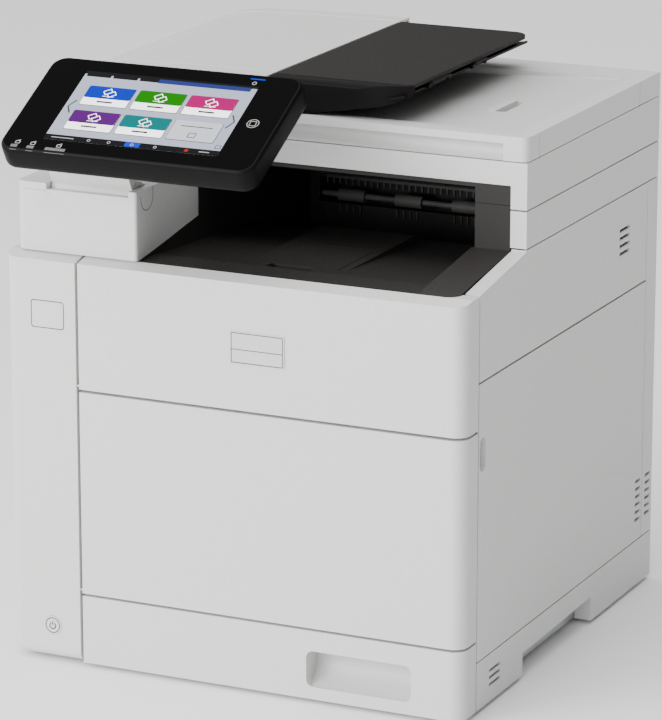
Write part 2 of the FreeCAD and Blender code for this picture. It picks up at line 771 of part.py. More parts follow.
def lid_shell():
    low = "lid_low + 0.3"
    high = "lid_high"
    slope = [("-22", "446"), ("190", f"{high} - 0.4"), ("190", f"{high} + 1"), ("-22", f"{high} + 1")]
    shell = body(
        pad("yz", rect((SETBACK, "back_face"), (low, high)), (LEFT, RIGHT)),
        rounded("upper_radius", "z", x=RIGHT, y=SETBACK),
        rounded("upper_radius", "z", x=LEFT, y=SETBACK),
        pocket("xy", rect((f"{LEFT} + 3", f"{RIGHT} - 3"), (deep("137"), "back_face - 3")),
               (f"{low} - 1", "441")),
        pocket("xz", slope, (deep("142"), deep("374"))),
        pocket("xy", rect(("133", "151"), (deep("217"), deep("262"))), ("449.8", "460")),
        pocket("xy", rect(("143.2", "151"), (deep("217"), deep("262"))), ("446.5", "450")),
        pocket("yz", (f"{SETBACK} + 1", "442", "7"), ("-150", "189")))
    knuckles = []
    for left in ("-130", "110.6"):
        tube = rod("x", "4.5", (left, f"{left} + 19.4"), (deep("lid_hinge_depth"), "lid_hinge_height"))
        web = box((left, f"{left} + 19.4"), ("back_face - 1", deep("lid_hinge_depth + 1")),
                  ("lid_hinge_height + 1", "lid_hinge_height + 8"))
        knuckles.extend((tube, web))
    bores = [rod("x", "2.06", (f"{left} - 1", f"{left} + 21"), (deep("lid_hinge_depth"), "lid_hinge_height"))
             for left in ("-130", "110.6")]
    return cut(fuse(shell, *knuckles), *bores)


def pressure_pad():
    """White sponge sheet that presses the page on the glass."""
    return box(("glass_left + 3", "glass_right - 3"), (deep("glass_front + 3"), deep("glass_back - 3")),
               ("lid_low + 0.1", "441"))


def document_stop():
    """Flap in the lid's exit slope that lifts to stop the sheets, beside a hollow for a finger."""
    depth = (deep("217.4"), deep("261.6"))
    plate = box(("134.5", "142.5"), depth, ("450.2", "453.4"))
    barrel = rod("y", "1.1", depth, ("134.5", "451.3"))
    return fuse(plate, barrel)


# ---- document feeder ----

FEEDER_HINGES = (160, 360)


def feeder_base():
    """Lower half of the feeder with the bearing posts of its roller."""
    x = ("feeder_left", "feeder_right")
    y = (deep("feeder_front"), deep("feeder_back"))
    shell = cut(
        box(x, y, ("lid_high", "feeder_split - play")),
        box(inset(*x, "4"), (f"{y[0]} + 4", f"{y[1]} - 4"), ("lid_high + 3", "feeder_split + 1")),
        box(("feeder_right - 5", "feeder_right + 1"), (f"{y[0]} + 12", f"{y[1]} - 24"),
            ("lid_high + 3", "feeder_split + 1")))
    posts = [box(("-77", "-63"), (start, f"{start} + 4"), ("lid_high + 2", "471"))
             for start in (f"{y[0]} + 6", f"{y[1]} - 10")]
    bore = rod("y", "2.56", y, ("-70", "466"))
    centre = ("feeder_left", "feeder_split")
    room = [rod("y", "2.1", (deep(f"{start} + 11.7"), deep(f"{start} + 24.3")),
                centre) for start in FEEDER_HINGES]
    barrels = [rod("y", "1.8", (deep(f"{start}"), deep(f"{start} + 11.4")),
                   centre) for start in FEEDER_HINGES]
    pins = [rod("y", "0.8", (deep(f"{start}"), deep(f"{start} + 23")), centre) for start in FEEDER_HINGES]
    return fuse(cut(fuse(shell, *posts), bore, *room), *barrels, *pins)


def feeder_cover():
    low = "feeder_split"
    high = "feeder_high"
    left = "feeder_left"
    right = "feeder_right"
    outline = [(right, low), (right, high), ("-110", f"{high} - 0.6"), ("-165", f"{high} - 2.5"),
               ("-190", f"{high} - 6.5"), ("-200", f"{high} - 11.5"), (left, f"{high} - 18"), (left, low)]
    inside = [(f"{right} + 1", f"{low} - 1"), (f"{right} + 1", f"{high} - skin"), ("-110", f"{high} - 3.2"),
              ("-165", f"{high} - 5.2"), ("-188", f"{high} - 9"), ("-197", f"{high} - 14"),
              (f"{left} + skin", f"{high} - 19"),
              (f"{left} + skin", f"{low} - 1")]
    shell = body(
        pad("xz", outline, (deep("feeder_front"), deep("feeder_back"))),
        pocket("xz", inside, (deep("feeder_front + skin"), deep("feeder_back - skin"))))
    centre = (left, low)
    room = [rod("y", "2.1", (deep(f"{start} - 0.3"), deep(f"{start} + 11.7")),
                centre) for start in FEEDER_HINGES]
    barrels = [rod("y", "1.8", (deep(f"{start} + 12"), deep(f"{start} + 24")),
                   centre) for start in FEEDER_HINGES]
    bores = [rod("y", "0.86", (deep(f"{start} + 11"), deep(f"{start} + 25")),
                 centre) for start in FEEDER_HINGES]
    return cut(fuse(cut(shell, *room), *barrels), *bores)


def feeder_roller(x, height, radius, front, back):
    """Rubber roller on a steel shaft along Y."""
    def make():
        shaft = rod("y", "2.5", (deep("feeder_front + 5.5"), deep("feeder_back - 5.5")), (x, height))
        rubber = rod("y", radius, (deep(front), deep(back)), (x, height))
        return fuse(shaft, rubber)
    return make


LEAF_EARS = (178, 218, 268, 294)


def table_front_wall():
    """Thick wall in front of the table, drawn in towards its right end and rounded on top."""
    left = "feeder_right + seam"
    face = deep("table_front - 3")
    high = "feeder_high - 0.3"
    outline = [(left, "lid_high"), ("8", "lid_high"), ("77", "466.5"), ("88", "470"), ("97", "473.5"),
               ("nose_right", "477.5"), ("nose_right", high), (left, high)]
    bar = body(
        pad("xz", outline, (face, deep("table_wall"))),
        rounded("4.5", "x", y=face, z=high))
    height = ("lid_high - 1", f"{high} + 1")
    curved = rod("z", "nose_radius", height, ("nose_start", f"{face} + nose_radius"))
    straight = box((f"{left} - 1", "nose_start"), (f"{face} - 1", deep("table_wall + 1")), height)
    return meet(bar, fuse(curved, straight))


def feeder_table():
    """Dark table that carries the stack of originals, with its front and rear walls."""
    left = "feeder_right + seam"
    outline = [(left, "468"), ("84", "472"), ("97", "475.2"), ("97", "477"), ("84", "474.5"), (left, "470.5")]
    plate = body(pad("xz", outline, (deep("table_front"), deep("table_back"))))
    rear_outline = [(left, "lid_high"), ("8", "lid_high"), ("77", "468"), ("table_right", "473"),
                    ("table_right", "480.6"), (left, "480.6")]
    rear = body(pad("xz", rear_outline, (deep("table_back - 3"), deep("table_back"))))
    ears = []
    for start in LEAF_EARS:
        span = (deep(f"{start}"), deep(f"{start} + 3.4"))
        ears.append(rod("y", "1.2", span, ("leaf_hinge_x", "leaf_hinge_height")))
        ears.append(box(("95", "leaf_hinge_x"), span, ("475.6", "leaf_hinge_height")))
    pins = [rod("y", "0.8", (deep(f"{start}"), deep(f"{end} + 3.4")), ("leaf_hinge_x", "leaf_hinge_height"))
            for start, end in (LEAF_EARS[:2], LEAF_EARS[2:])]
    return fuse(plate, table_front_wall(), rear, *ears, *pins)


def feeder_leaf():
    """Folding leaf that covers the table and opens over its right-hand edge."""
    front = deep("table_wall + 0.6")
    plate = body(
        pad("xy", rect(("feeder_right + 2", "leaf_hinge_x"), (front, deep("table_back"))),
            ("leaf_low", "feeder_high")),
        rounded("5", "z", x="leaf_hinge_x", y=front),
        rounded("16", "z", x="leaf_hinge_x", y=deep("table_back")))
    knuckles = []
    for start, end in (LEAF_EARS[:2], LEAF_EARS[2:]):
        span = (deep(f"{start} + 4"), deep(f"{end} - 0.6"))
        knuckles.append(rod("y", "1.6", span, ("leaf_hinge_x", "leaf_hinge_height")))
        knuckles.append(box(("leaf_hinge_x - 1.6", "leaf_hinge_x"), span,
                            ("leaf_hinge_height", "leaf_low + 1")))
    bore = rod("y", "0.86", (deep("170"), deep("310")), ("leaf_hinge_x", "leaf_hinge_height"))
    return cut(fuse(plate, *knuckles), bore)


def feeder_guide(side):
    """Side guide that slides along the table; the two close together."""
    middle = f"264 + {side} * 109"
    inner = f"{middle} - {side} * 14"
    low, high = sorted((middle, inner), key=lambda text: number(text))

    def make():
        fin = box(("-14", "52"), (deep(f"{middle} - 1"), deep(f"{middle} + 1")), ("474.6", "480"))
        foot = box(("-14", "52"), (deep(low), deep(high)), ("474", "475.4"))
        return fuse(fin, foot)
    return make


# ---- operation panel ----

def in_panel(thing):
    """Lay a piece drawn flat onto the tilted plane of the panel."""
    bind(thing, "Placement.Base.x", "panel_x")
    bind(thing, "Placement.Base.y", deep("panel_depth"))
    bind(thing, "Placement.Base.z", "panel_height")
    thing.Placement.Rotation = FreeCAD.Rotation(FreeCAD.Vector(1, 0, 0), number("panel_tilt"))
    bind(thing, "Placement.Rotation.Angle", "panel_tilt")
    return thing


def panel_shell():
    across = ("panel_left", "panel_right")
    up = ("panel_low", "panel_high")
    glass_bed = rect(inset(*across, "1.3"), inset(*up, "1.3"))
    shell = body(
        pad("xy", rect(across, up), ("0 - panel_thickness", "0")),
        *[rounded("12", "z", x=x, y=y) for x in across for y in up],
        pocket("xy", glass_bed, ("-1.5", "1")),
        pocket("xy", rect(("-2", "screen_width + 2"), ("-2", "screen_height + 2")), ("-5", "0")))
    return in_panel(group(shell))


def panel_glass():
    across = inset("panel_left", "panel_right", "1.5")
    up = inset("panel_low", "panel_high", "1.5")
    glass = body(
        pad("xy", rect(across, up), ("-1.5", "0.3")),
        *[rounded("10.5", "z", x=x, y=y) for x in across for y in up])
    return in_panel(group(glass))


def panel_display():
    return in_panel(group(box(("-1.8", "screen_width + 1.8"), ("-1.8", "screen_height + 1.8"),
                              ("-4.8", "-1.6"))))


def panel_arm():
    """Hinge barrel and neck that carry the panel."""
    centre = ("arm_up_panel", "0 - arm_reach")
    barrel = rod("x", "barrel_radius", ("-23", "50.5"), centre)
    neck = box(("-22.8", "50.3"), ("arm_up_panel - 5.8", "arm_up_panel + 5.8"),
               ("0 - arm_reach", "0 - panel_thickness"))
    foot = box(("-24", "51"), ("arm_up_panel - 22", "arm_up_panel + 22"),
               ("0 - panel_thickness - 4", "0 - panel_thickness"))
    bore = rod("x", "3.06", ("-24", "52"), centre)
    return in_panel(cut(fuse(barrel, neck, foot), bore))


def panel_mount():
    """White box at the front left that carries the panel's hinge."""
    front = deep("mount_front")
    back = f"{SETBACK} - play"
    right = "opening_left"
    profile = [(front, "lip_high + 0.8"), (deep("18"), "lip_high + 0.8"), (deep("40"), "351.2"),
               (back, "363.2"),
               (back, "mount_high"), (front, "mount_high")]
    across = ("-165", "-90")
    box_body = body(
        pad("yz", profile, ("mount_left", right)),
        rounded("8", "z", x="mount_left", y=front),
        rounded("2.5", "z", x=right, y=front),
        pocket("xz", rect(("mount_left + 3", f"{right} - 3"), ("366.5", "mount_high - 3")),
               (deep("47"), back)),
        pocket("yz", rect((deep("18.6"), deep("44")), ("385", "mount_high + 1")), across),
        pocket("yz", rect((f"{front} - 1", deep("21")), ("400", "mount_high + 1")), across),
        pocket("xz", rect(("mount_left - 1", across[0]), ("398.8", "399.5")),
               (f"{front} - 1", f"{front} + 0.7")))
    pin = rod("x", "3", ("-170", "-85"), (deep("hinge_depth"), "hinge_height"))
    return fuse(box_body, pin)


# ---- interior ----

def frame_plate(x):
    plate = box((x, f"{x} + 1.5"), (deep("34"), deep("408")), ("6", "298"))
    windows = [box((f"{x} - 1", f"{x} + 3"), (deep(f"{start}"), deep(f"{start} + 60")), ("70", "110"))
               for start in (60, 140, 220)]
    return cut(plate, *windows)


def main_frame():
    """Steel side plates joined by a cross plate and the shelf under the toner."""
    across = ("frame_left + 1.5", "frame_right")
    cross = box(across, (deep("60"), deep("300")), ("66", "67.5"))
    shelf = box(across, (deep("34"), deep("330")), ("237.5", "239"))
    return fuse(frame_plate("frame_left"), frame_plate("frame_right"), cross, shelf)


def toner_x(index):
    return f"-84 + {index} * toner_pitch"


def inner_front_panel():
    """Panel behind the front covers with the toner openings and the bypass feed slot."""
    face = (deep("29"), deep("31.5"))
    plate = box(("frame_left + 1.5", "frame_right"), face, ("66", "327"))
    holes = [rod("y", "toner_radius + 1.5", (deep("28"), deep("33")), (toner_x(index), "toner_height"))
             for index in range(4)]
    slot = box(("paper_middle - 60", "paper_middle + 60"), (deep("28"), deep("33")), ("84", "108"))
    cheeks = [box((x, f"{x} + 4"), (deep("31.5"), deep("52")), ("84", "108"))
              for x in ("paper_middle - 66", "paper_middle + 62")]
    bore = rod("x", "3.06", ("paper_middle - 70", "paper_middle + 70"), (deep("40"), "96"))
    return cut(fuse(plate, *cheeks), *holes, slot, bore)


def bypass_feed_roller():
    centre = (deep("40"), "96")
    shaft = rod("x", "3", ("paper_middle - 68", "paper_middle + 68"), centre)
    rubber = rod("x", "9", ("paper_middle - 20", "paper_middle + 20"), centre)
    return fuse(shaft, rubber)


def toner_cartridges():
    bottles = []
    for index in range(4):
        x = toner_x(index)
        bottle = rod("y", "toner_radius", (deep("40"), deep("322")), (x, "toner_height"))
        cap = rod("y", "toner_radius - 6", (deep("34"), deep("40")), (x, "toner_height"))
        handle = box((f"{x} - 16", f"{x} + 16"), (deep("29"), deep("34")),
                     ("toner_height - 3", "toner_height + 3"))
        bottles.append(fuse(bottle, cap, handle))
    return group(*bottles)


def laser_unit():
    case = box(("-105", "170"), (deep("66"), deep("290")), ("67.5", "110"))
    top = box(("-100", "165"), (deep("70"), deep("286")), ("110", "112"))
    windows = [box(("-80", "145"), (deep(f"{start}"), deep(f"{start} + 9")), ("110.5", "113"))
               for start in (95, 153, 211, 262)]
    return cut(fuse(case, top), *windows)


def drum_units():
    """Four photoconductor drums, each with its developer housing below it."""
    units = []
    for index in range(4):
        middle = f"100 + {index} * drum_pitch"
        drum = rod("x", "12", ("-95", "165"), (deep(middle), "158"))
        case = box(("-100", "170"), (deep(f"{middle} - 22"), deep(f"{middle} + 14")), ("116", "150"))
        units.append(fuse(drum, case))
    return group(*units)


def transfer_belt():
    """Endless transfer belt over its two rollers."""
    centre = "184"
    loop = fuse(box(("-80", "150"), (deep("80"), deep("292")), (f"{centre} - 12.5", f"{centre} + 12.5")),
                rod("x", "12.5", ("-80", "150"), (deep("80"), centre)),
                rod("x", "12.5", ("-80", "150"), (deep("292"), centre)))
    hollow = fuse(box(("-81", "151"), (deep("80"), deep("292")), (f"{centre} - 11.4", f"{centre} + 11.4")),
                  rod("x", "11.4", ("-81", "151"), (deep("80"), centre)),
                  rod("x", "11.4", ("-81", "151"), (deep("292"), centre)))
    rollers = [rod("x", "11.4", ("-92", "162"), (deep(depth), centre)) for depth in ("80", "292")]
    return fuse(cut(loop, hollow), *rollers)


FUSER_REAR = "fuser_front + 2 * fuser_radius + play"


def fuser_housing():
    across = ("-100", "165")
    depth = (deep("fuser_front - 18"), deep(f"{FUSER_REAR} + 17"))
    middle = deep("fuser_front + fuser_radius + play / 2")
    shell = cut(
        box(across, depth, ("228", "278")),
        box(inset(*across, "4"), (f"{depth[0]} + 2.5", f"{depth[1]} - 2.5"), ("231", "275")),
        box(("-80", "145"), (f"{middle} - 3", f"{middle} + 3"), ("227", "279")))
    bores = [rod("x", "5.06", ("-101", "166"), (deep(place), "fuser_height")) for place in ("fuser_front",
                                                                                            FUSER_REAR)]
    return cut(shell, *bores)


def fuser_roller(depth):
    def make():
        centre = (deep(depth), "fuser_height")
        shaft = rod("x", "5", ("-99", "164"), centre)
        sleeve = rod("x", "fuser_radius", ("-90", "155"), centre)
        return fuse(shaft, sleeve)
    return make


def main_board():
    """Controller board with its network and data sockets at the rear."""
    board = box(("-190", "-188.4"), (deep("60"), deep("390")), ("190", "260"))
    chips = [box(("-188.4", "-184"), (deep(f"{start}"), deep(f"{start} + 26")), (f"{low}", f"{low} + 26"))
             for start, low in ((80, 200), (130, 225), (180, 205))]
    sockets = box(("-192", "-168"), (deep("385"), "back_face - skin"), ("204", "252"))
    network = box(("-186.5", "-173.5"), ("back_face - 16", "back_face"), ("235.5", "246.5"))
    data = box(("-186.5", "-175.5"), ("back_face - 14", "back_face"), ("209.5", "219.5"))
    return cut(fuse(board, *chips, sockets), network, data)


def power_inlet():
    """Appliance inlet for a detachable mains cord."""
    block = box(("-188.8", "-159.2"), ("back_face - 24", "back_face"), ("60.2", "83.8"))
    socket = box(("-186.5", "-161.5"), ("back_face - 19", "back_face + 1"), ("63.5", "80.5"))
    pins = []
    for x, low in (("-181", "69"), ("-174", "73"), ("-167", "69")):
        pins.append(box((f"{x} - 1", f"{x} + 1"), ("back_face - 20", "back_face - 6"), (low, f"{low} + 4")))
    return fuse(cut(block, socket), *pins)


# ---- cassette interior ----

def cassette_body():
    x = ("cassette_left", "cassette_right")
    y = (CORNER, deep("cassette_back"))
    return cut(
        box(x, y, ("cassette_low", "cassette_rim")),
        box(inset(*x), (f"{y[0]} + skin", f"{y[1]} - skin"), ("cassette_low + skin", "cassette_rim + 1")))


def lift_plate():
    return box(("paper_middle - 50", "paper_middle + 50"), (deep("150"), deep("335")), ("12.2", "13.6"))


def cassette_guide(side):
    def make():
        middle = f"paper_middle + {side} * 109.5"
        fin = box((f"{middle} - 1.2", f"{middle} + 1.2"), (deep("150"), deep("300")), ("12", "50"))
        foot = box((f"{middle} - 10", f"{middle} + 10"), (deep("200"), deep("240")), ("11.8", "13.2"))
        return fuse(fin, foot)
    return make


def cassette_end_guide():
    fin = box(("paper_middle - 20", "paper_middle + 20"), (deep("46"), deep("49")), ("12", "50"))
    foot = box(("paper_middle - 12", "paper_middle + 12"), (deep("36"), deep("46")), ("12", "16"))
    return fuse(fin, foot)


MAKERS = {
    "front_left_column": front_left_column,
    "power_button": power_button,
    "front_cover": front_cover,
    "brand_plate": brand_plate,
    "bypass_cover": bypass_cover,
    "bypass_guide_left": bypass_guide(-1),
    "bypass_guide_right": bypass_guide(1),
    "cassette_front": cassette_front,
    "cassette_body": cassette_body,
    "lift_plate": lift_plate,
    "cassette_guide_left": cassette_guide(-1),
    "cassette_guide_right": cassette_guide(1),
    "cassette_end_guide": cassette_end_guide,
    "right_upper_cover": right_upper_cover,
    "right_lower_cover": right_lower_cover,
    "left_side_cover": left_side_cover,
    "rear_cover": rear_cover,
    "rear_access_door": rear_access_door,
    "base_rails": base_rails,
    "base_plate": base_plate,
    "rubber_feet": rubber_feet,
    "exit_frame": exit_frame,
    "cover_screws": cover_screws,
    "output_tray": output_tray,
    "output_flap": output_flap,
    "cavity_liner": cavity_liner,
    "exit_guide_comb": exit_guide_comb,
    "exit_roller": roller_set("exit_roller_radius", "2.5", "25", "exit_roller_depth", "exit_roller_height",
                              ("-72", "138"), ("-43.5", "10.5", "64.5", "118.5")),
    "scanner_housing": scanner_housing,
    "scanner_tub": scanner_tub,
    "platen_glass": platen_glass,
    "scan_carriage": scan_carriage,
    "lid_hinges": lid_hinges,
    "lid_shell": lid_shell,
    "pressure_pad": pressure_pad,
    "document_stop": document_stop,
    "feeder_base": feeder_base,
    "feeder_cover": feeder_cover,
    "feeder_feed_roller": feeder_roller("-70", "466", "7", "230", "300"),
    "feeder_table": feeder_table,
    "feeder_leaf": feeder_leaf,
    "feeder_guide_front": feeder_guide(-1),
    "feeder_guide_rear": feeder_guide(1),
    "panel_mount": panel_mount,
    "panel_arm": panel_arm,
    "panel_shell": panel_shell,
    "panel_glass": panel_glass,
    "panel_display": panel_display,
    "main_frame": main_frame,
    "inner_front_panel": inner_front_panel,
    "bypass_feed_roller": bypass_feed_roller,
    "toner_cartridges": toner_cartridges,
    "laser_unit": laser_unit,
    "drum_units": drum_units,
    "transfer_belt": transfer_belt,
    "fuser_housing": fuser_housing,
    "fuser_heat_roller": fuser_roller("fuser_front"),
    "fuser_pressure_roller": fuser_roller(FUSER_REAR),
    "main_board": main_board,
    "power_inlet": power_inlet,
}

for label, make in MAKERS.items():
    node(label, make())
DOC.recompute()

problems = []
for thing in DOC.Objects:
    if any(state in ("Invalid", "Error") for state in thing.State):
        problems.append(f"{thing.Label} is {thing.State}")
for label, thing in NODES.items():
    if thing.Shape.isNull() or not thing.Shape.isValid() or not thing.Shape.Solids:
        problems.append(f"{label} has no valid solid")
if problems:
    raise ValueError("; ".join(problems))

os.makedirs("parts", exist_ok=True)
for label, thing in NODES.items():
    thing.Shape.exportStep(f"parts/{label}.step")
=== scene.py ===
import json
import math
import bmesh
import bpy
from mathutils import Matrix, Vector


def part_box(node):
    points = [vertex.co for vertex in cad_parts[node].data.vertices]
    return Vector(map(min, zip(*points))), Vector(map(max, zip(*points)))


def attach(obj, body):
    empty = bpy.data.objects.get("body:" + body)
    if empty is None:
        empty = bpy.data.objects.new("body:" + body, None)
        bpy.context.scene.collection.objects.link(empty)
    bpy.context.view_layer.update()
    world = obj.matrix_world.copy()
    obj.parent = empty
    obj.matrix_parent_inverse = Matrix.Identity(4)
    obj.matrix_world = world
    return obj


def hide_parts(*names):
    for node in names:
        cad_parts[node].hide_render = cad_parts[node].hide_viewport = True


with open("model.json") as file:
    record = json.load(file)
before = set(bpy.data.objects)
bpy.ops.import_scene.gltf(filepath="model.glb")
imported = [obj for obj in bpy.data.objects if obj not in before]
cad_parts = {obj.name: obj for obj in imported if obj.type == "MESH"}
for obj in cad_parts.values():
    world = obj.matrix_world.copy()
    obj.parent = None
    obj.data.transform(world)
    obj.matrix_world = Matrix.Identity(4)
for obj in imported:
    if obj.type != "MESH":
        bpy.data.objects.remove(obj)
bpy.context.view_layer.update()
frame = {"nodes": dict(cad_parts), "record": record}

MM = 0.001


# ---- shader helpers ----

def shaded(colour, amount):
    """The same colour, darker or lighter."""
    return tuple(min(channel * amount, 1) for channel in colour)


def new_material(name):
    material = bpy.data.materials.new(name)
    material.use_nodes = True
    tree = material.node_tree
    shader = tree.nodes["Principled BSDF"]
    return material, tree, shader


def noise(tree, scale, detail=3.0, roughness=0.5):
    coordinates = tree.nodes.new("ShaderNodeTexCoord")
    texture = tree.nodes.new("ShaderNodeTexNoise")
    texture.inputs["Scale"].default_value = scale
    texture.inputs["Detail"].default_value = detail
    texture.inputs["Roughness"].default_value = roughness
    tree.links.new(coordinates.outputs["Object"], texture.inputs["Vector"])
    return texture.outputs["Fac"]


def ramp(tree, source, low, high, start=0.3, end=0.7):
    """Colour ramp between two colours or grey levels."""
    node = tree.nodes.new("ShaderNodeValToRGB")
    for element, place, value in zip(node.color_ramp.elements, (start, end), (low, high)):
        element.position = place
        element.color = (value, value, value, 1) if isinstance(value, float) else (*value, 1)
    tree.links.new(source, node.inputs["Fac"])
    return node.outputs["Color"]


def multiply(tree, first, second, amount=1.0):
    mix = tree.nodes.new("ShaderNodeMix")
    mix.data_type = "RGBA"
    mix.blend_type = "MULTIPLY"
    mix.inputs["Factor"].default_value = amount
    tree.links.new(first, mix.inputs["A"])
    tree.links.new(second, mix.inputs["B"])
    return mix.outputs["Result"]


def bump(tree, shader, height, strength, distance):
    node = tree.nodes.new("ShaderNodeBump")
    node.inputs["Strength"].default_value = strength
    node.inputs["Distance"].default_value = distance
    tree.links.new(height, node.inputs["Height"])
    tree.links.new(node.outputs["Normal"], shader.inputs["Normal"])
    return node


def moulded_plastic(name, colour, roughness=0.45, grain=2600.0, relief=0.25, crease_shade_depth=0.06, specular=0.5):
    """Injection-moulded plastic: spark-eroded grain, faint mottling and painted shade that darkens inner
    corners and creases.
    """
    material, tree, shader = new_material(name)
    mottled = ramp(tree, noise(tree, 220.0, 4.0), shaded(colour, 0.975), shaded(colour, 1.015))
    geometry = tree.nodes.new("ShaderNodeNewGeometry")
    # painted shade: faces in inner corners and creases, where pointiness is low, are darkened; flat faces
    # and outer edges keep their full colour
    crease_shade = ramp(tree, geometry.outputs["Pointiness"], 1.0 - crease_shade_depth, 1.0, 0.44, 0.5)
    tree.links.new(multiply(tree, mottled, crease_shade), shader.inputs["Base Color"])
    uneven = ramp(tree, noise(tree, 300.0), roughness - 0.03, roughness + 0.03)
    tree.links.new(uneven, shader.inputs["Roughness"])
    bump(tree, shader, noise(tree, grain, 2.0), relief, 0.00004)
    shader.inputs["Specular IOR Level"].default_value = specular
    return material


def gloss_black(name, colour, roughness=0.06, specular=0.5):
    material, tree, shader = new_material(name)
    cloudy = ramp(tree, noise(tree, 35.0, 5.0), colour, shaded(colour, 1.25))
    tree.links.new(cloudy, shader.inputs["Base Color"])
    smudged = ramp(tree, noise(tree, 70.0, 6.0, 0.65), roughness, roughness + 0.05, 0.4, 0.75)
    tree.links.new(smudged, shader.inputs["Roughness"])
    shader.inputs["Specular IOR Level"].default_value = specular
    return material


def metal(name, colour, roughness):
    material, tree, shader = new_material(name)
    coordinates = tree.nodes.new("ShaderNodeTexCoord")
    stretch = tree.nodes.new("ShaderNodeMapping")
    stretch.inputs["Scale"].default_value = (1, 1, 40)
    brushed = tree.nodes.new("ShaderNodeTexNoise")
    brushed.inputs["Scale"].default_value = 120
    tree.links.new(coordinates.outputs["Object"], stretch.inputs["Vector"])
    tree.links.new(stretch.outputs["Vector"], brushed.inputs["Vector"])
    streaks = brushed.outputs["Fac"]
    tree.links.new(ramp(tree, streaks, shaded(colour, 0.85), colour), shader.inputs["Base Color"])
    tree.links.new(ramp(tree, streaks, roughness - 0.08, roughness + 0.08), shader.inputs["Roughness"])
    shader.inputs["Metallic"].default_value = 1.0
    bump(tree, shader, streaks, 0.15, 0.00003)
    return material


def rubber(name, colour, roughness=0.75):
    material, tree, shader = new_material(name)
    dusty = ramp(tree, noise(tree, 40.0), colour, shaded(colour, 1.5))
    tree.links.new(dusty, shader.inputs["Base Color"])
    uneven = ramp(tree, noise(tree, 300.0), roughness - 0.1, roughness + 0.1)
    tree.links.new(uneven, shader.inputs["Roughness"])
    bump(tree, shader, noise(tree, 1500.0), 0.4, 0.00006)
    return material


def clear_glass(name):
    material, tree, shader = new_material(name)
    tint = ramp(tree, noise(tree, 20.0), (0.86, 0.92, 0.91), (0.92, 0.96, 0.95))
    tree.links.new(tint, shader.inputs["Base Color"])
    tree.links.new(ramp(tree, noise(tree, 50.0, 6.0), 0.02, 0.06), shader.inputs["Roughness"])
    shader.inputs["Transmission Weight"].default_value = 0.92
    shader.inputs["IOR"].default_value = 1.5
    return material


def lit(name, colour, strength):
    """Part of the switched-on screen or a small lamp."""
    material, tree, shader = new_material(name)
    shade = ramp(tree, noise(tree, 14.0), shaded(colour, 0.94), colour)
    dim = ramp(tree, noise(tree, 90.0), shaded(colour, 0.05), shaded(colour, 0.06))
    tree.links.new(dim, shader.inputs["Base Color"])
    tree.links.new(shade, shader.inputs["Emission Color"])
    shader.inputs["Emission Strength"].default_value = strength
    shader.inputs["Roughness"].default_value = 0.1
    shader.inputs["Specular IOR Level"].default_value = 0.04
    return material


WHITE = (0.60, 0.605, 0.595)
MATERIALS = {
    "shell": moulded_plastic("white_shell", WHITE, 0.46),
    "dark": moulded_plastic("dark_shell", (0.0165, 0.0147, 0.0141), 0.5, 2200.0, 0.3, specular=0.1),
    "wall": moulded_plastic("satin_black", (0.004, 0.0038, 0.0037), 0.42, 2200.0, 0.3, specular=0.07),
    "inner": moulded_plastic("inner_plastic", (0.024, 0.0220, 0.0212), 0.45, 2200.0, 0.3, specular=0.15),
    "grey": moulded_plastic("grey_plastic", (0.25, 0.25, 0.26), 0.4),
    "comb": moulded_plastic("comb_plastic", (0.05, 0.05, 0.052), 0.4),
    "line": moulded_plastic("printed_line", (0.045, 0.046, 0.048), 0.5),
    "plate": moulded_plastic("name_plate", (0.55, 0.555, 0.55), 0.35),
    "gloss": gloss_black("black_gloss", (0.0009, 0.0009, 0.001), 0.1, 0.02),
    "steel": metal("sheet_steel", (0.62, 0.63, 0.64), 0.35),
    "glass": clear_glass("clear_glass"),
    "screen": gloss_black("screen", (0.008, 0.009, 0.012)),
    "rubber": rubber("rubber", (0.02, 0.02, 0.02)),
    "roller": rubber("roller_rubber", (0.085, 0.082, 0.08), 0.6),
    "belt": gloss_black("belt", (0.02, 0.02, 0.022), 0.2),
    "board": moulded_plastic("board", (0.02, 0.12, 0.05), 0.35),
    "film": moulded_plastic("foam_sheet", (0.78, 0.78, 0.76), 0.6),
    "toner": moulded_plastic("toner_body", (0.05, 0.05, 0.055), 0.4),
    "cyan": moulded_plastic("cyan_cap", (0.02, 0.28, 0.50), 0.38),
    "magenta": moulded_plastic("magenta_cap", (0.50, 0.02, 0.16), 0.38),
    "yellow": moulded_plastic("yellow_cap", (0.72, 0.50, 0.02), 0.38),
    "key": moulded_plastic("key_cap", (0.015, 0.015, 0.016), 0.38),
    "lamp": moulded_plastic("lamp_window", (0.10, 0.10, 0.11), 0.3),
    "shadow": moulded_plastic("seam_shadow", (0.02, 0.02, 0.02), 0.8, specular=0.05),
}
LIGHTS = {
    "ground": ((0.58, 0.63, 0.76), 1.25),
    "paper": ((1.0, 1.0, 1.0), 3.2),
    "shade": ((0.12, 0.14, 0.17), 0.9),
    "bar": ((0.010, 0.010, 0.012), 1.0),
    "strip": ((0.035, 0.055, 0.30), 1.0),
    "blue": ((0.0, 0.055, 0.95), 0.72),
    "green": ((0.006, 0.42, 0.0), 0.68),
    "pink": ((0.90, 0.0, 0.30), 0.68),
    "violet": ((0.20, 0.012, 0.34), 0.7),
    "teal": ((0.0, 0.33, 0.35), 0.75),
    "pale": ((0.75, 0.77, 0.83), 1.4),
    "azure": ((0.0, 0.075, 1.0), 0.9),
    "red": ((0.9, 0.02, 0.008), 0.75),
    "mark": ((0.80, 0.80, 0.80), 0.9),
}
MATERIALS.update({name: lit("lit_" + name, *look) for name, look in LIGHTS.items()})

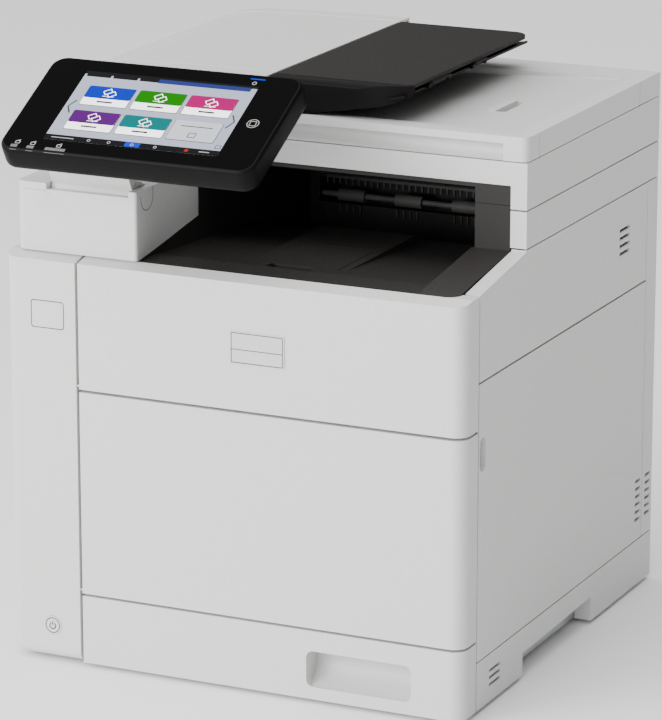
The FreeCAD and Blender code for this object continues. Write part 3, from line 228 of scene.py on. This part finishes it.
# node: (material, bevel radius in mm)
FINISH = {
    "front_left_column": ("shell", 0.8), "power_button": ("shell", 0.5), "front_cover": ("shell", 0.8),
    "brand_plate": ("plate", 0.2), "bypass_cover": ("shell", 0.8), "bypass_guide_left": ("grey", 0.3),
    "bypass_guide_right": ("grey", 0.3), "cassette_front": ("shell", 0.8), "cassette_body": ("inner", 0.5),
    "lift_plate": ("steel", 0.3), "cassette_guide_left": ("grey", 0.3),
    "cassette_guide_right": ("grey", 0.3), "cassette_end_guide": ("grey", 0.3),
    "right_upper_cover": ("shell", 0.7), "right_lower_cover": ("shell", 0.7),
    "left_side_cover": ("shell", 0.7), "rear_cover": ("shell", 0.8), "rear_access_door": ("shell", 0.5),
    "base_rails": ("shell", 0.7), "base_plate": ("steel", 0.2), "rubber_feet": ("rubber", 0.6),
    "exit_frame": ("shell", 0.6), "cover_screws": ("steel", 0.4), "output_tray": ("inner", 0.8),
    "output_flap": ("inner", 0.4), "cavity_liner": ("inner", 0.5), "exit_guide_comb": ("comb", 0.2),
    "exit_roller": ("roller", 0.3), "scanner_housing": ("shell", 0.8), "scanner_tub": ("inner", 0.5),
    "platen_glass": ("glass", 0.3), "scan_carriage": ("inner", 0.5), "lid_hinges": ("steel", 0.4),
    "lid_shell": ("shell", 0.9), "pressure_pad": ("film", 0.6), "document_stop": ("shell", 0.3),
    "feeder_base": ("shell", 0.6), "feeder_cover": ("shell", 0.9), "feeder_feed_roller": ("rubber", 0.4),
    "feeder_table": ("wall", 0.6), "feeder_leaf": ("dark", 0.5), "feeder_guide_front": ("dark", 0.3),
    "feeder_guide_rear": ("dark", 0.3), "panel_mount": ("shell", 0.8), "panel_arm": ("shell", 0.7),
    "panel_shell": ("gloss", 2.2), "panel_glass": ("gloss", 0.4), "panel_display": ("screen", 0.2),
    "main_frame": ("steel", 0.2), "inner_front_panel": ("inner", 0.5), "bypass_feed_roller": ("rubber", 0.4),
    "toner_cartridges": ("toner", 0.6), "laser_unit": ("inner", 0.8), "drum_units": ("inner", 0.8),
    "transfer_belt": ("belt", 0.2), "fuser_housing": ("inner", 0.6), "fuser_heat_roller": ("rubber", 0.5),
    "fuser_pressure_roller": ("rubber", 0.5), "main_board": ("board", 0.2), "power_inlet": ("gloss", 0.4),
}


def soften(thing, radius):
    """Merge coplanar faces and round the edges, as a moulding has."""
    flatten = thing.modifiers.new("flatten", "DECIMATE")
    flatten.decimate_type = "DISSOLVE"
    flatten.angle_limit = math.radians(0.6)
    edge = thing.modifiers.new("edge", "BEVEL")
    edge.width = radius * MM
    edge.segments = 3
    edge.limit_method = "ANGLE"
    edge.angle_limit = math.radians(34)
    edge.use_clamp_overlap = True
    edge.harden_normals = True


for node_name, (material_name, radius) in FINISH.items():
    thing = frame["nodes"][node_name]
    thing.data.materials.clear()
    thing.data.materials.append(MATERIALS[material_name])
    soften(thing, radius)


# ---- pieces drawn in code ----

def upright(x, y, z):
    """Frame for a drawing on a front face: u to the right, v up, w towards the viewer."""
    return Matrix.Translation((x, y, z)) @ Matrix.Rotation(math.pi / 2, 4, "X")


def lying(x, y, z):
    """Frame for a drawing on a top face: u to the right, v to the back, w up."""
    return Matrix.Translation((x, y, z))


def from_behind(x, y, z):
    """Frame for a drawing on a rear face: u to the left of the machine, v up, w to the back."""
    facing_back = Matrix.Rotation(math.pi, 4, "Z") @ Matrix.Rotation(math.pi / 2, 4, "X")
    return Matrix.Translation((x, y, z)) @ facing_back


def sideways(x, y, z):
    """Frame for a drawing on a right-hand face: u to the back, v up, w to the right."""
    return Matrix(((0, 0, 1, x), (1, 0, 0, y), (0, 1, 0, z), (0, 0, 0, 1)))


def joint_place(name):
    """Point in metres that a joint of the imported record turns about."""
    for joint in frame["record"]["behaviour"]["joints"]:
        if joint["name"] == name:
            return Vector(joint["pos_m"])


def rounded_outline(left, right, low, high, radius, steps=6):
    """Corner points of a rounded rectangle, in mm."""
    points = []
    corners = ((right - radius, high - radius, 0), (left + radius, high - radius, 90),
               (left + radius, low + radius, 180), (right - radius, low + radius, 270))
    for u, v, start in corners:
        for index in range(steps + 1):
            angle = math.radians(start + 90 * index / steps)
            points.append((u + radius * math.cos(angle), v + radius * math.sin(angle)))
    return points


def circle(u, v, radius, steps=40):
    turns = [2 * math.pi * index / steps for index in range(steps)]
    return [(u + radius * math.cos(turn), v + radius * math.sin(turn)) for turn in turns]


def arc(u, v, radius, start, end, steps=18):
    """Open run of points on a circle between two angles in degrees."""
    angles = [math.radians(start + (end - start) * index / steps) for index in range(steps + 1)]
    return [(u + radius * math.cos(angle), v + radius * math.sin(angle)) for angle in angles]


def turned(points, angle, u=0.0, v=0.0):
    """Points turned about their own zero, then shifted."""
    cosine, sine = math.cos(math.radians(angle)), math.sin(math.radians(angle))
    return [(u + x * cosine - y * sine, v + x * sine + y * cosine) for x, y in points]


class Drawing:
    """Mesh under construction in a flat frame measured in mm."""

    def __init__(self, place):
        self.place = place
        self.mesh = bmesh.new()

    def point(self, u, v, w):
        return self.mesh.verts.new(self.place @ Vector((u * MM, v * MM, w * MM)))

    def loop(self, outline, w):
        return [self.point(u, v, w) for u, v in outline]

    def skirt(self, first, second):
        for index in range(len(first)):
            after = (index + 1) % len(first)
            self.mesh.faces.new((first[index], first[after], second[after], second[index]))

    def prism(self, outline, low, high):
        """Closed flat plate with that outline."""
        bottom, top = self.loop(outline, low), self.loop(outline, high)
        self.mesh.faces.new(list(reversed(bottom)))
        self.mesh.faces.new(top)
        self.skirt(bottom, top)
        return self

    def ring(self, outer, inner, low, high):
        """Closed flat frame between two outlines with as many points."""
        loops = [self.loop(outer, low), self.loop(outer, high),
                 self.loop(inner, high), self.loop(inner, low)]
        for first, second in zip(loops, loops[1:] + loops[:1]):
            self.skirt(first, second)
        return self

    def stroke(self, points, width, low, high):
        """Raised line of even width along a run of points."""
        sides = ([], [])
        for index, (u, v) in enumerate(points):
            before = points[max(index - 1, 0)]
            after = points[min(index + 1, len(points) - 1)]
            along = Vector((after[0] - before[0], after[1] - before[1])).normalized() * (width / 2)
            sides[0].append((u - along.y, v + along.x))
            sides[1].append((u + along.y, v - along.x))
        return self.prism(sides[1] + list(reversed(sides[0])), low, high)

    def slab(self, outline_at, sections):
        """Solid through outlines given by inset, one at each height, closed at both ends."""
        loops = [self.loop(outline_at(inset), height) for inset, height in sections]
        self.mesh.faces.new(list(reversed(loops[0])))
        self.mesh.faces.new(loops[-1])
        for first, second in zip(loops, loops[1:]):
            self.skirt(first, second)
        return self

    def finish(self, name, material, body, slot, bevel=0.0):
        bmesh.ops.recalc_face_normals(self.mesh, faces=self.mesh.faces)
        data = bpy.data.meshes.new(name)
        self.mesh.to_mesh(data)
        self.mesh.free()
        piece = bpy.data.objects.new(name, data)
        bpy.context.scene.collection.objects.link(piece)
        data.materials.append(MATERIALS[material])
        if bevel:
            edge = piece.modifiers.new("edge", "BEVEL")
            edge.width = bevel * MM
            edge.segments = 2
            edge.limit_method = "ANGLE"
            edge.use_clamp_overlap = True
            edge.harden_normals = True
        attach(piece, body)
        return piece


# ---- operation panel ----

PANEL_TILT = math.radians(28.6)
PANEL_LEFT, PANEL_RIGHT = -36.5, 189.5
PANEL_LOW, PANEL_HIGH = -15.5, 102.0
SCREEN_WIDTH, SCREEN_HEIGHT = 154.2, 85.9
GLASS_MIDDLE = ((PANEL_LEFT + PANEL_RIGHT) / 2, (PANEL_LOW + PANEL_HIGH) / 2, -0.6)

glass_low, glass_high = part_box("panel_glass")
panel_plane = (Matrix.Translation((glass_low + glass_high) / 2) @ Matrix.Rotation(PANEL_TILT, 4, "X")
               @ Matrix.Translation(-Vector(GLASS_MIDDLE) * MM))


def panel_outline(inset):
    return rounded_outline(PANEL_LEFT + inset, PANEL_RIGHT - inset, PANEL_LOW + inset, PANEL_HIGH - inset,
                           13.0 - min(inset, 6.0) * 0.8, 10)


# inset and height of each outline, from the rounded back edge to the rounded front edge
CASE_BACK = ((5.5, -22.5), (3.4, -22.2), (1.6, -21.2), (0.5, -19.5), (0.0, -17.0))
CASE_FRONT = ((0.0, -4.2), (0.2, -2.7), (0.7, -1.5), (1.4, -0.7), (2.2, -0.2), (3.0, 0.0))
PANE = ((2.6, -1.4), (2.6, 0.1), (2.75, 0.25), (3.0, 0.3))
case = Drawing(panel_plane).slab(panel_outline, CASE_BACK + CASE_FRONT)
case = case.finish("panel_case", "wall", "panel", "dark_shell")
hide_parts("panel_shell")
pane = Drawing(panel_plane).slab(panel_outline, PANE)
pane = pane.finish("panel_pane", "gloss", "panel", "black_gloss")
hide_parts("panel_glass")
for smooth_piece in (case, pane):
    for face in smooth_piece.data.polygons:
        face.use_smooth = len(face.vertices) == 4

TILE_WIDTH, TILE_PITCH, TILE_START = 41.5, 45.6, 11.2
TILE_HEAD = 8.6
TILE_ROWS = ((45.3, 68.6), (14.6, 37.9))
TILE_COLOURS = (("blue", "green", "pink"), ("violet", "teal", None))
TILE_CORNER = 1.4
TOP_BAR, BOTTOM_BAR = 82.2, 6.4
BAR_MIDDLE = 3.2

# heights above the panel's front plane: the backlit ground, then films that lie on one another
GLASS_TOP = 0.3
GROUND_TOP = GLASS_TOP + 0.03
FILM = 0.02
PRINT = (GLASS_TOP, GLASS_TOP + 0.03)
GREY_MARK = (GROUND_TOP, GROUND_TOP + 0.03)


def film(index):
    """Lower and upper height of a film on the screen."""
    return GROUND_TOP + index * FILM, GROUND_TOP + (index + 1) * FILM


def screen_drawing():
    return Drawing(panel_plane)


def screen_piece(name, material, outlines, heights):
    """Flat pieces of one colour on the screen."""
    drawing = screen_drawing()
    for outline in outlines:
        drawing.prism(outline, *heights)
    drawing.finish(name, material, "panel", "screen")


def square_outline(u, v, half_width, half_height, radius, steps):
    """Rounded rectangle about a middle point."""
    return rounded_outline(u - half_width, u + half_width, v - half_height, v + half_height, radius, steps)


whole_screen = rounded_outline(0, SCREEN_WIDTH, 0, SCREEN_HEIGHT, 0.4, 2)
screen_piece("screen_ground", "ground", [whole_screen], (GLASS_TOP, GROUND_TOP))
bars = [rounded_outline(0, SCREEN_WIDTH, TOP_BAR, SCREEN_HEIGHT, 0.3, 2),
        rounded_outline(0, SCREEN_WIDTH, 0, BOTTOM_BAR, 0.3, 2)]
screen_piece("screen_bars", "bar", bars, film(0))
tabs = [rounded_outline(2 + index * 24, 24 + index * 24, 79.4, 84.6, 0.8, 3) for index in range(3)]
screen_piece("screen_tabs", "bar", tabs, film(1))
screen_piece("screen_strip", "strip", [rounded_outline(67, 149, 78.8, 83.6, 0.5, 2)], film(2))


def draw_icon(drawing, u, v):
    """Two overlapping sheets over a short line."""
    for shift, lift in ((-2.1, 1.3), (2.1, -1.3)):
        page = turned(rounded_outline(-3.6, 3.6, -2.7, 2.7, 0.4, 2), 35, u + shift, v + lift)
        hole = turned(rounded_outline(-2.9, 2.9, -2.0, 2.0, 0.3, 2), 35, u + shift, v + lift)
        low, high = film(3)
        drawing.ring(page, hole, low, high + 0.01 * lift)
    drawing.stroke([(u - 5.0, v - 4.4), (u + 5.0, v - 4.4)], 0.5, *film(3))


shadows, sheets, pale, icons, labels = [screen_drawing() for _ in range(5)]
for (low, high), colours in zip(TILE_ROWS, TILE_COLOURS):
    for column, colour in enumerate(colours):
        left = TILE_START + column * TILE_PITCH
        right = left + TILE_WIDTH
        middle = (left + right) / 2
        shadows.prism(rounded_outline(left - 0.3, right + 0.7, low - 0.8, high, 1.6, 4), *film(0))
        tile = rounded_outline(left, right, low, high, TILE_CORNER, 4)
        if colour is None:
            pale.prism(tile, *film(1))
            labels.stroke([(middle - 14.0, high - 6.5), (middle + 14.0, high - 6.5)], 0.9, *film(2))
            continue
        sheets.prism(tile, *film(1))
        head = rounded_outline(left, right, low + TILE_HEAD, high, TILE_CORNER, 4)
        screen_piece("tile_" + colour, colour, [head], film(2))
        draw_icon(icons, middle, (low + TILE_HEAD + high) / 2)
        labels.stroke([(middle - 7.0, low + 4.6), (middle + 7.0, low + 4.6)], 1.9, *film(2))
shadows.finish("tile_shadows", "shade", "panel", "screen")
sheets.finish("tile_sheets", "paper", "panel", "screen")
pale.finish("tile_pale", "pale", "panel", "screen")
icons.finish("tile_icons", "paper", "panel", "screen")
labels.finish("tile_label_bars", "bar", "panel", "screen")

grey_marks = screen_drawing()
for tip, back in ((3.2, 7.6), (151.4, 147.0)):
    grey_marks.stroke([(back, 49.5), (tip, 41.5), (back, 33.5)], 1.5, *GREY_MARK)
empty_left = TILE_START + 2 * TILE_PITCH
empty_low = TILE_ROWS[1][0]
sheet_outer = rounded_outline(empty_left + 17.0, empty_left + 24.0, empty_low + 3.5, empty_low + 9.5, 0.5, 3)
sheet_inner = rounded_outline(empty_left + 17.8, empty_left + 23.2, empty_low + 4.3, empty_low + 8.7, 0.4, 3)
grey_marks.ring(sheet_outer, sheet_inner, *film(2))
grid_outer = rounded_outline(148.0, 153.0, 8.4, 12.8, 0.4, 3)
grid_inner = rounded_outline(148.7, 152.3, 9.1, 12.1, 0.3, 3)
grey_marks.ring(grid_outer, grid_inner, *GREY_MARK)
grey_marks.finish("screen_grey_marks", "shade", "panel", "screen")

screen_piece("screen_highlight", "azure", [rounded_outline(71.5, 85, 0.6, 6.2, 1.0, 4)], film(1))
screen_piece("screen_stop", "red", [circle(126, BAR_MIDDLE, 1.8)], film(1))
small_marks = screen_drawing()
for u in (39.5, 57.5, 78.0, 98.5):
    small_marks.ring(circle(u, BAR_MIDDLE, 1.5, 16), circle(u, BAR_MIDDLE, 0.9, 16), *film(2))
for start, end in ((6.0, 26.0), (137.0, 146.0)):
    small_marks.stroke([(start, BAR_MIDDLE), (end, BAR_MIDDLE)], 0.9, *film(2))
small_marks.prism(rounded_outline(149.6, 153.8, 78.8, 82.8, 0.3, 2), *film(3))
small_marks.finish("screen_small_marks", "mark", "panel", "screen")

# keys and lamps printed on the glass beside the screen
HOME = (167.5, 42.0)
SENSOR = (148.5, 89.6)
SYMBOL_MIDDLES = (-19.6, -5.8, 17.6)
SYMBOL_HEIGHT = -6.8
WINDOW_SPANS = ((-24.0, -18.0), (-9.5, -3.2), (7.0, 25.0))
glass_marks = screen_drawing()
glass_marks.ring(circle(*HOME, 5.2), circle(*HOME, 4.6), *PRINT)
glass_marks.ring(square_outline(*HOME, 2.9, 2.9, 0.8, 4), square_outline(*HOME, 2.3, 2.3, 0.6, 4), *PRINT)
glass_marks.ring(circle(*SENSOR, 2.0, 24), circle(*SENSOR, 1.3, 24), *PRINT)
for u in SYMBOL_MIDDLES:
    glass_marks.ring(square_outline(u, SYMBOL_HEIGHT, 2.2, 1.8, 0.8, 3),
                     square_outline(u, SYMBOL_HEIGHT, 1.5, 1.1, 0.5, 3), *PRINT)
    glass_marks.stroke([(u - 0.6, SYMBOL_HEIGHT + 1.8), (u + 1.8, SYMBOL_HEIGHT + 2.9)], 0.6, *PRINT)
glass_marks.finish("panel_marks", "mark", "panel", "black_gloss")
screen_piece("panel_lamp", "azure", [rounded_outline(143.0, 156.0, 94.0, 95.4, 0.5, 3)], PRINT)
windows = screen_drawing()
for left, right in WINDOW_SPANS:
    windows.prism(rounded_outline(left, right, PANEL_LOW + 2.7, PANEL_LOW + 5.8, 0.3, 2), -0.5, PRINT[1])
    windows.prism(rounded_outline(left, right, PANEL_LOW + 0.9, PANEL_LOW + 2.8, 0.03, 1), -4.2, -0.9)
windows.finish("panel_windows", "lamp", "panel", "grey_plastic")

# ---- marks on the front ----

button_low, button_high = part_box("power_button")
button_middle = (button_low + button_high) / 2
symbol = Drawing(upright(button_middle.x, button_low.y, button_middle.z))
symbol.ring(circle(0, 0, 6.8), circle(0, 0, 5.9), -0.1, 0.05)
symbol.stroke(arc(0, -0.3, 2.7, 125, 415), 1.1, -0.1, 0.06)
symbol.stroke([(0, 0.2), (0, 3.5)], 1.1, -0.1, 0.06)
symbol.finish("power_symbol", "line", "button", "grey_plastic")

column_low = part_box("front_left_column")[0]
touch_mark = Drawing(upright(column_low.x, column_low.y, column_low.z))
MARK = (24.5, 55.0, 283.0, 306.5)
mark_inside = (MARK[0] + 0.8, MARK[1] - 0.8, MARK[2] + 0.8, MARK[3] - 0.8)
touch_mark.ring(rounded_outline(*MARK, 2.4), rounded_outline(*mark_inside, 1.8), -0.05, 0.06)
touch_mark.finish("touch_mark", "line", "frame", "grey_plastic")

plate_low, plate_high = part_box("brand_plate")
plate_width = (plate_high.x - plate_low.x) / MM
plate_height = (plate_high.z - plate_low.z) / MM
plate_marks = Drawing(upright(plate_low.x, plate_low.y, plate_low.z))
plate_marks.ring(rounded_outline(1.0, plate_width - 1.0, 1.0, plate_height - 1.0, 1.0),
                 rounded_outline(1.75, plate_width - 1.75, 1.75, plate_height - 1.75, 0.6), -0.05, 0.05)
plate_marks.stroke([(1.3, plate_height * 0.45), (plate_width - 1.3, plate_height * 0.45)], 0.7, -0.05, 0.05)
plate_marks.finish("plate_outline", "line", "upper_front", "grey_plastic")

# ---- lines and ridges of the mouldings ----

mount_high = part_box("panel_mount")[1]
hinge_middle = joint_place("panel_tilt")
hinge_seam = Drawing(sideways(mount_high.x, hinge_middle.y, hinge_middle.z))
hinge_seam.stroke([(-10.5, 2.4)] + arc(0, 0, 10.5, 180, 360) + [(10.5, 7.3)], 0.6, -0.3, 0.04)
hinge_seam.finish("hinge_seam", "shadow", "frame", "dark_shell")

# dark sheets of painted shade behind the slots of the side covers, so the slots read dark: depth span, then
# height span
VENT_SPANS = {"right_upper_cover": (325.0, 356.5, 309.0, 338.5),
              "right_lower_cover": (374.0, 394.5, 59.5, 103.5)}
BEHIND_SKIN = 2.6
front_face_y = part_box("front_cover")[0].y
for cover, (near, far, low, high) in VENT_SPANS.items():
    shade_sheet_place = sideways(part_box(cover)[1].x - BEHIND_SKIN * MM, front_face_y, 0)
    # painted shade: a dark sheet just inside the cover stands for the shade behind the slots
    screen = Drawing(shade_sheet_place).prism(rounded_outline(near, far, low, high, 1.0, 2), -0.7, -0.1)
    screen.finish("vent_shade_sheet_" + cover, "shadow", "frame", "inner_plastic")

lid_low, lid_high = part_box("lid_shell")
lid_height = (lid_high.z - lid_low.z) / MM
lid_lines = Drawing(sideways(lid_high.x, lid_low.y, lid_low.z))
for depth in (25.0, 248.0):
    lid_lines.stroke([(depth, 1.2), (depth, lid_height - 1.0)], 0.35, -0.2, 0.03)
lid_lines.finish("lid_mould_lines", "line", "lid", "white_shell")

cover_low, cover_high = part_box("feeder_cover")
COVER_PROFILE = ((-0.3, 0.0), (-86, -0.6), (-141, -2.5), (-166, -6.5), (-176, -11.5), (-179.6, -16.5))
cover_ridges = Drawing(upright(cover_high.x, cover_low.y, cover_high.z))
for depth in (-20.5, -266.0):
    cover_ridges.stroke(COVER_PROFILE, 0.5, depth - 0.45, depth + 0.45)
cover_ridges.finish("feeder_cover_ridges", "shell", "feeder_top", "white_shell", 0.1)

roller_low, roller_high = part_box("exit_roller")
forks = Drawing(upright(0, roller_low.y, roller_low.z))
for middle in (-43.5, 10.5, 64.5, 118.5):
    for shift in (-9.5, -3.0, 3.0, 9.5):
        left, right = middle + shift - 0.6, middle + shift + 0.6
        forks.prism([(left, -9.0), (right, -9.0), (right, -1.6), (left, -1.6)], -2.0, 0.4)
forks.finish("exit_forks", "comb", "frame", "inner_plastic", 0.15)

# dark cheek behind the left end of the exit roller shaft
cheek = Drawing(upright(roller_low.x, roller_high.y, roller_low.z))
cheek.prism(rounded_outline(-6.0, 9.0, -14.0, 17.0, 1.0, 2), -6.0, -4.0)
cheek.finish("exit_cheek", "wall", "frame", "inner_plastic", 0.2)

# ---- toner caps behind the upper front cover ----

toner_low, toner_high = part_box("toner_cartridges")
TONER_RADIUS = 27.0
CAP_COLOURS = ("yellow", "magenta", "cyan", "key")
toner_height = (toner_low.z + toner_high.z) / 2
toner_first = toner_low.x + TONER_RADIUS * MM
toner_step = (toner_high.x - toner_low.x - 2 * TONER_RADIUS * MM) / 3
for index, colour in enumerate(CAP_COLOURS):
    cap = Drawing(upright(toner_first + index * toner_step, toner_low.y, toner_height))
    cap.ring(circle(0, 0, 23.0), circle(0, 0, 17.5), -0.5, 1.2)
    cap.prism(rounded_outline(-15.5, 15.5, -4.0, 4.0, 3.8), -0.5, 1.6)
    cap.finish("toner_cap_" + colour, colour, "frame", "toner_body", 0.4)

# ---- paper size scales beside the glass ----

deck_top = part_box("scanner_housing")[1].z
pane_low, pane_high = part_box("platen_glass")
scale_strip = Drawing(lying(pane_high.x, pane_low.y, deck_top))
scale_strip.prism(rounded_outline(3.0, 11.0, 8.0, 214.0, 1.5), -0.1, 0.12)
scale_strip.finish("scale_strip", "film", "frame", "foam_sheet")
ticks = Drawing(lying(pane_high.x, pane_low.y, deck_top))
for index in range(20):
    reach = 7.5 if index % 5 else 5.5
    ticks.stroke([(reach, 13.0 + index * 10), (10.2, 13.0 + index * 10)], 0.5, 0.1, 0.16)
ticks.finish("scale_ticks", "inner", "frame", "inner_plastic")

# ---- rear ----

rear_low, rear_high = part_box("rear_cover")
rating = Drawing(from_behind(rear_high.x, rear_high.y, rear_low.z))
rating.prism(rounded_outline(290.0, 350.0, 26.0, 58.0, 2.0), -0.1, 0.15)
rating.finish("blank_plate", "plate", "frame", "grey_plastic", 0.05)

# ---- stage, light and camera ----

def plane(name, size, location, rotation=(0, 0, 0)):
    mesh = bpy.data.meshes.new(name)
    half = size / 2
    corners = [(-half, -half, 0), (half, -half, 0), (half, half, 0), (-half, half, 0)]
    mesh.from_pydata(corners, [], [(0, 1, 2, 3)])
    thing = bpy.data.objects.new(name, mesh)
    thing.location = location
    thing.rotation_euler = rotation
    bpy.context.scene.collection.objects.link(thing)
    return thing


floor = plane("floor", 40, (0, 0, 0))
floor_material, floor_tree, floor_shader = new_material("floor")
floor_tree.links.new(ramp(floor_tree, noise(floor_tree, 3.0), (0.91, 0.91, 0.91), (0.93, 0.93, 0.93)),
                     floor_shader.inputs["Base Color"])
floor_shader.inputs["Roughness"].default_value = 0.9
floor.data.materials.append(floor_material)

world = bpy.data.worlds.new("studio")
world.use_nodes = True
sky = world.node_tree
bpy.context.scene.world = world
KEY_SIDE = Vector((-0.62, -0.66, 0.42)).normalized()
direction = sky.nodes.new("ShaderNodeTexCoord")
facing = sky.nodes.new("ShaderNodeVectorMath")
facing.operation = "DOT_PRODUCT"
facing.inputs[1].default_value = KEY_SIDE
sky.links.new(direction.outputs["Generated"], facing.inputs[0])
spread = sky.nodes.new("ShaderNodeMapRange")
spread.interpolation_type = "SMOOTHSTEP"
spread.inputs["From Min"].default_value = -0.55
spread.inputs["From Max"].default_value = 0.9
spread.inputs["To Min"].default_value = 0.05
spread.inputs["To Max"].default_value = 2.0
sky.links.new(facing.outputs["Value"], spread.inputs["Value"])
sky.links.new(spread.outputs["Result"], sky.nodes["Background"].inputs["Strength"])
sky.nodes["Background"].inputs["Color"].default_value = (1, 1, 1, 1)


def softbox(name, location, target, size, power):
    light = bpy.data.lights.new(name, "AREA")
    light.shape = "RECTANGLE"
    light.size, light.size_y = size
    light.energy = power
    lamp = bpy.data.objects.new(name, light)
    lamp.location = location
    lamp.rotation_euler = (Vector(target) - Vector(location)).to_track_quat("-Z", "Y").to_euler()
    bpy.context.scene.collection.objects.link(lamp)


softbox("key", (-1.5, -2.4, 1.2), (0, 0, 0.25), (1.3, 1.3), 68)
softbox("front", (-0.5, -3.0, 0.75), (0, 0, 0.3), (1.0, 0.7), 26)
softbox("top", (0.2, -0.1, 2.2), (0, 0, 0.3), (1.8, 1.8), 23)

CAMERA_AZIMUTH = math.radians(25.149)
CAMERA_ELEVATION = math.radians(15.356)
camera_data = bpy.data.cameras.new("camera")
camera_data.lens = 203.33
camera_data.sensor_width = 36
camera_data.clip_end = 60
camera = bpy.data.objects.new("camera", camera_data)
camera.location = (1.4072, -2.98465, 1.1379)
camera.rotation_euler = (math.pi / 2 - CAMERA_ELEVATION, 0, CAMERA_AZIMUTH)
bpy.context.scene.collection.objects.link(camera)
bpy.context.scene.camera = camera
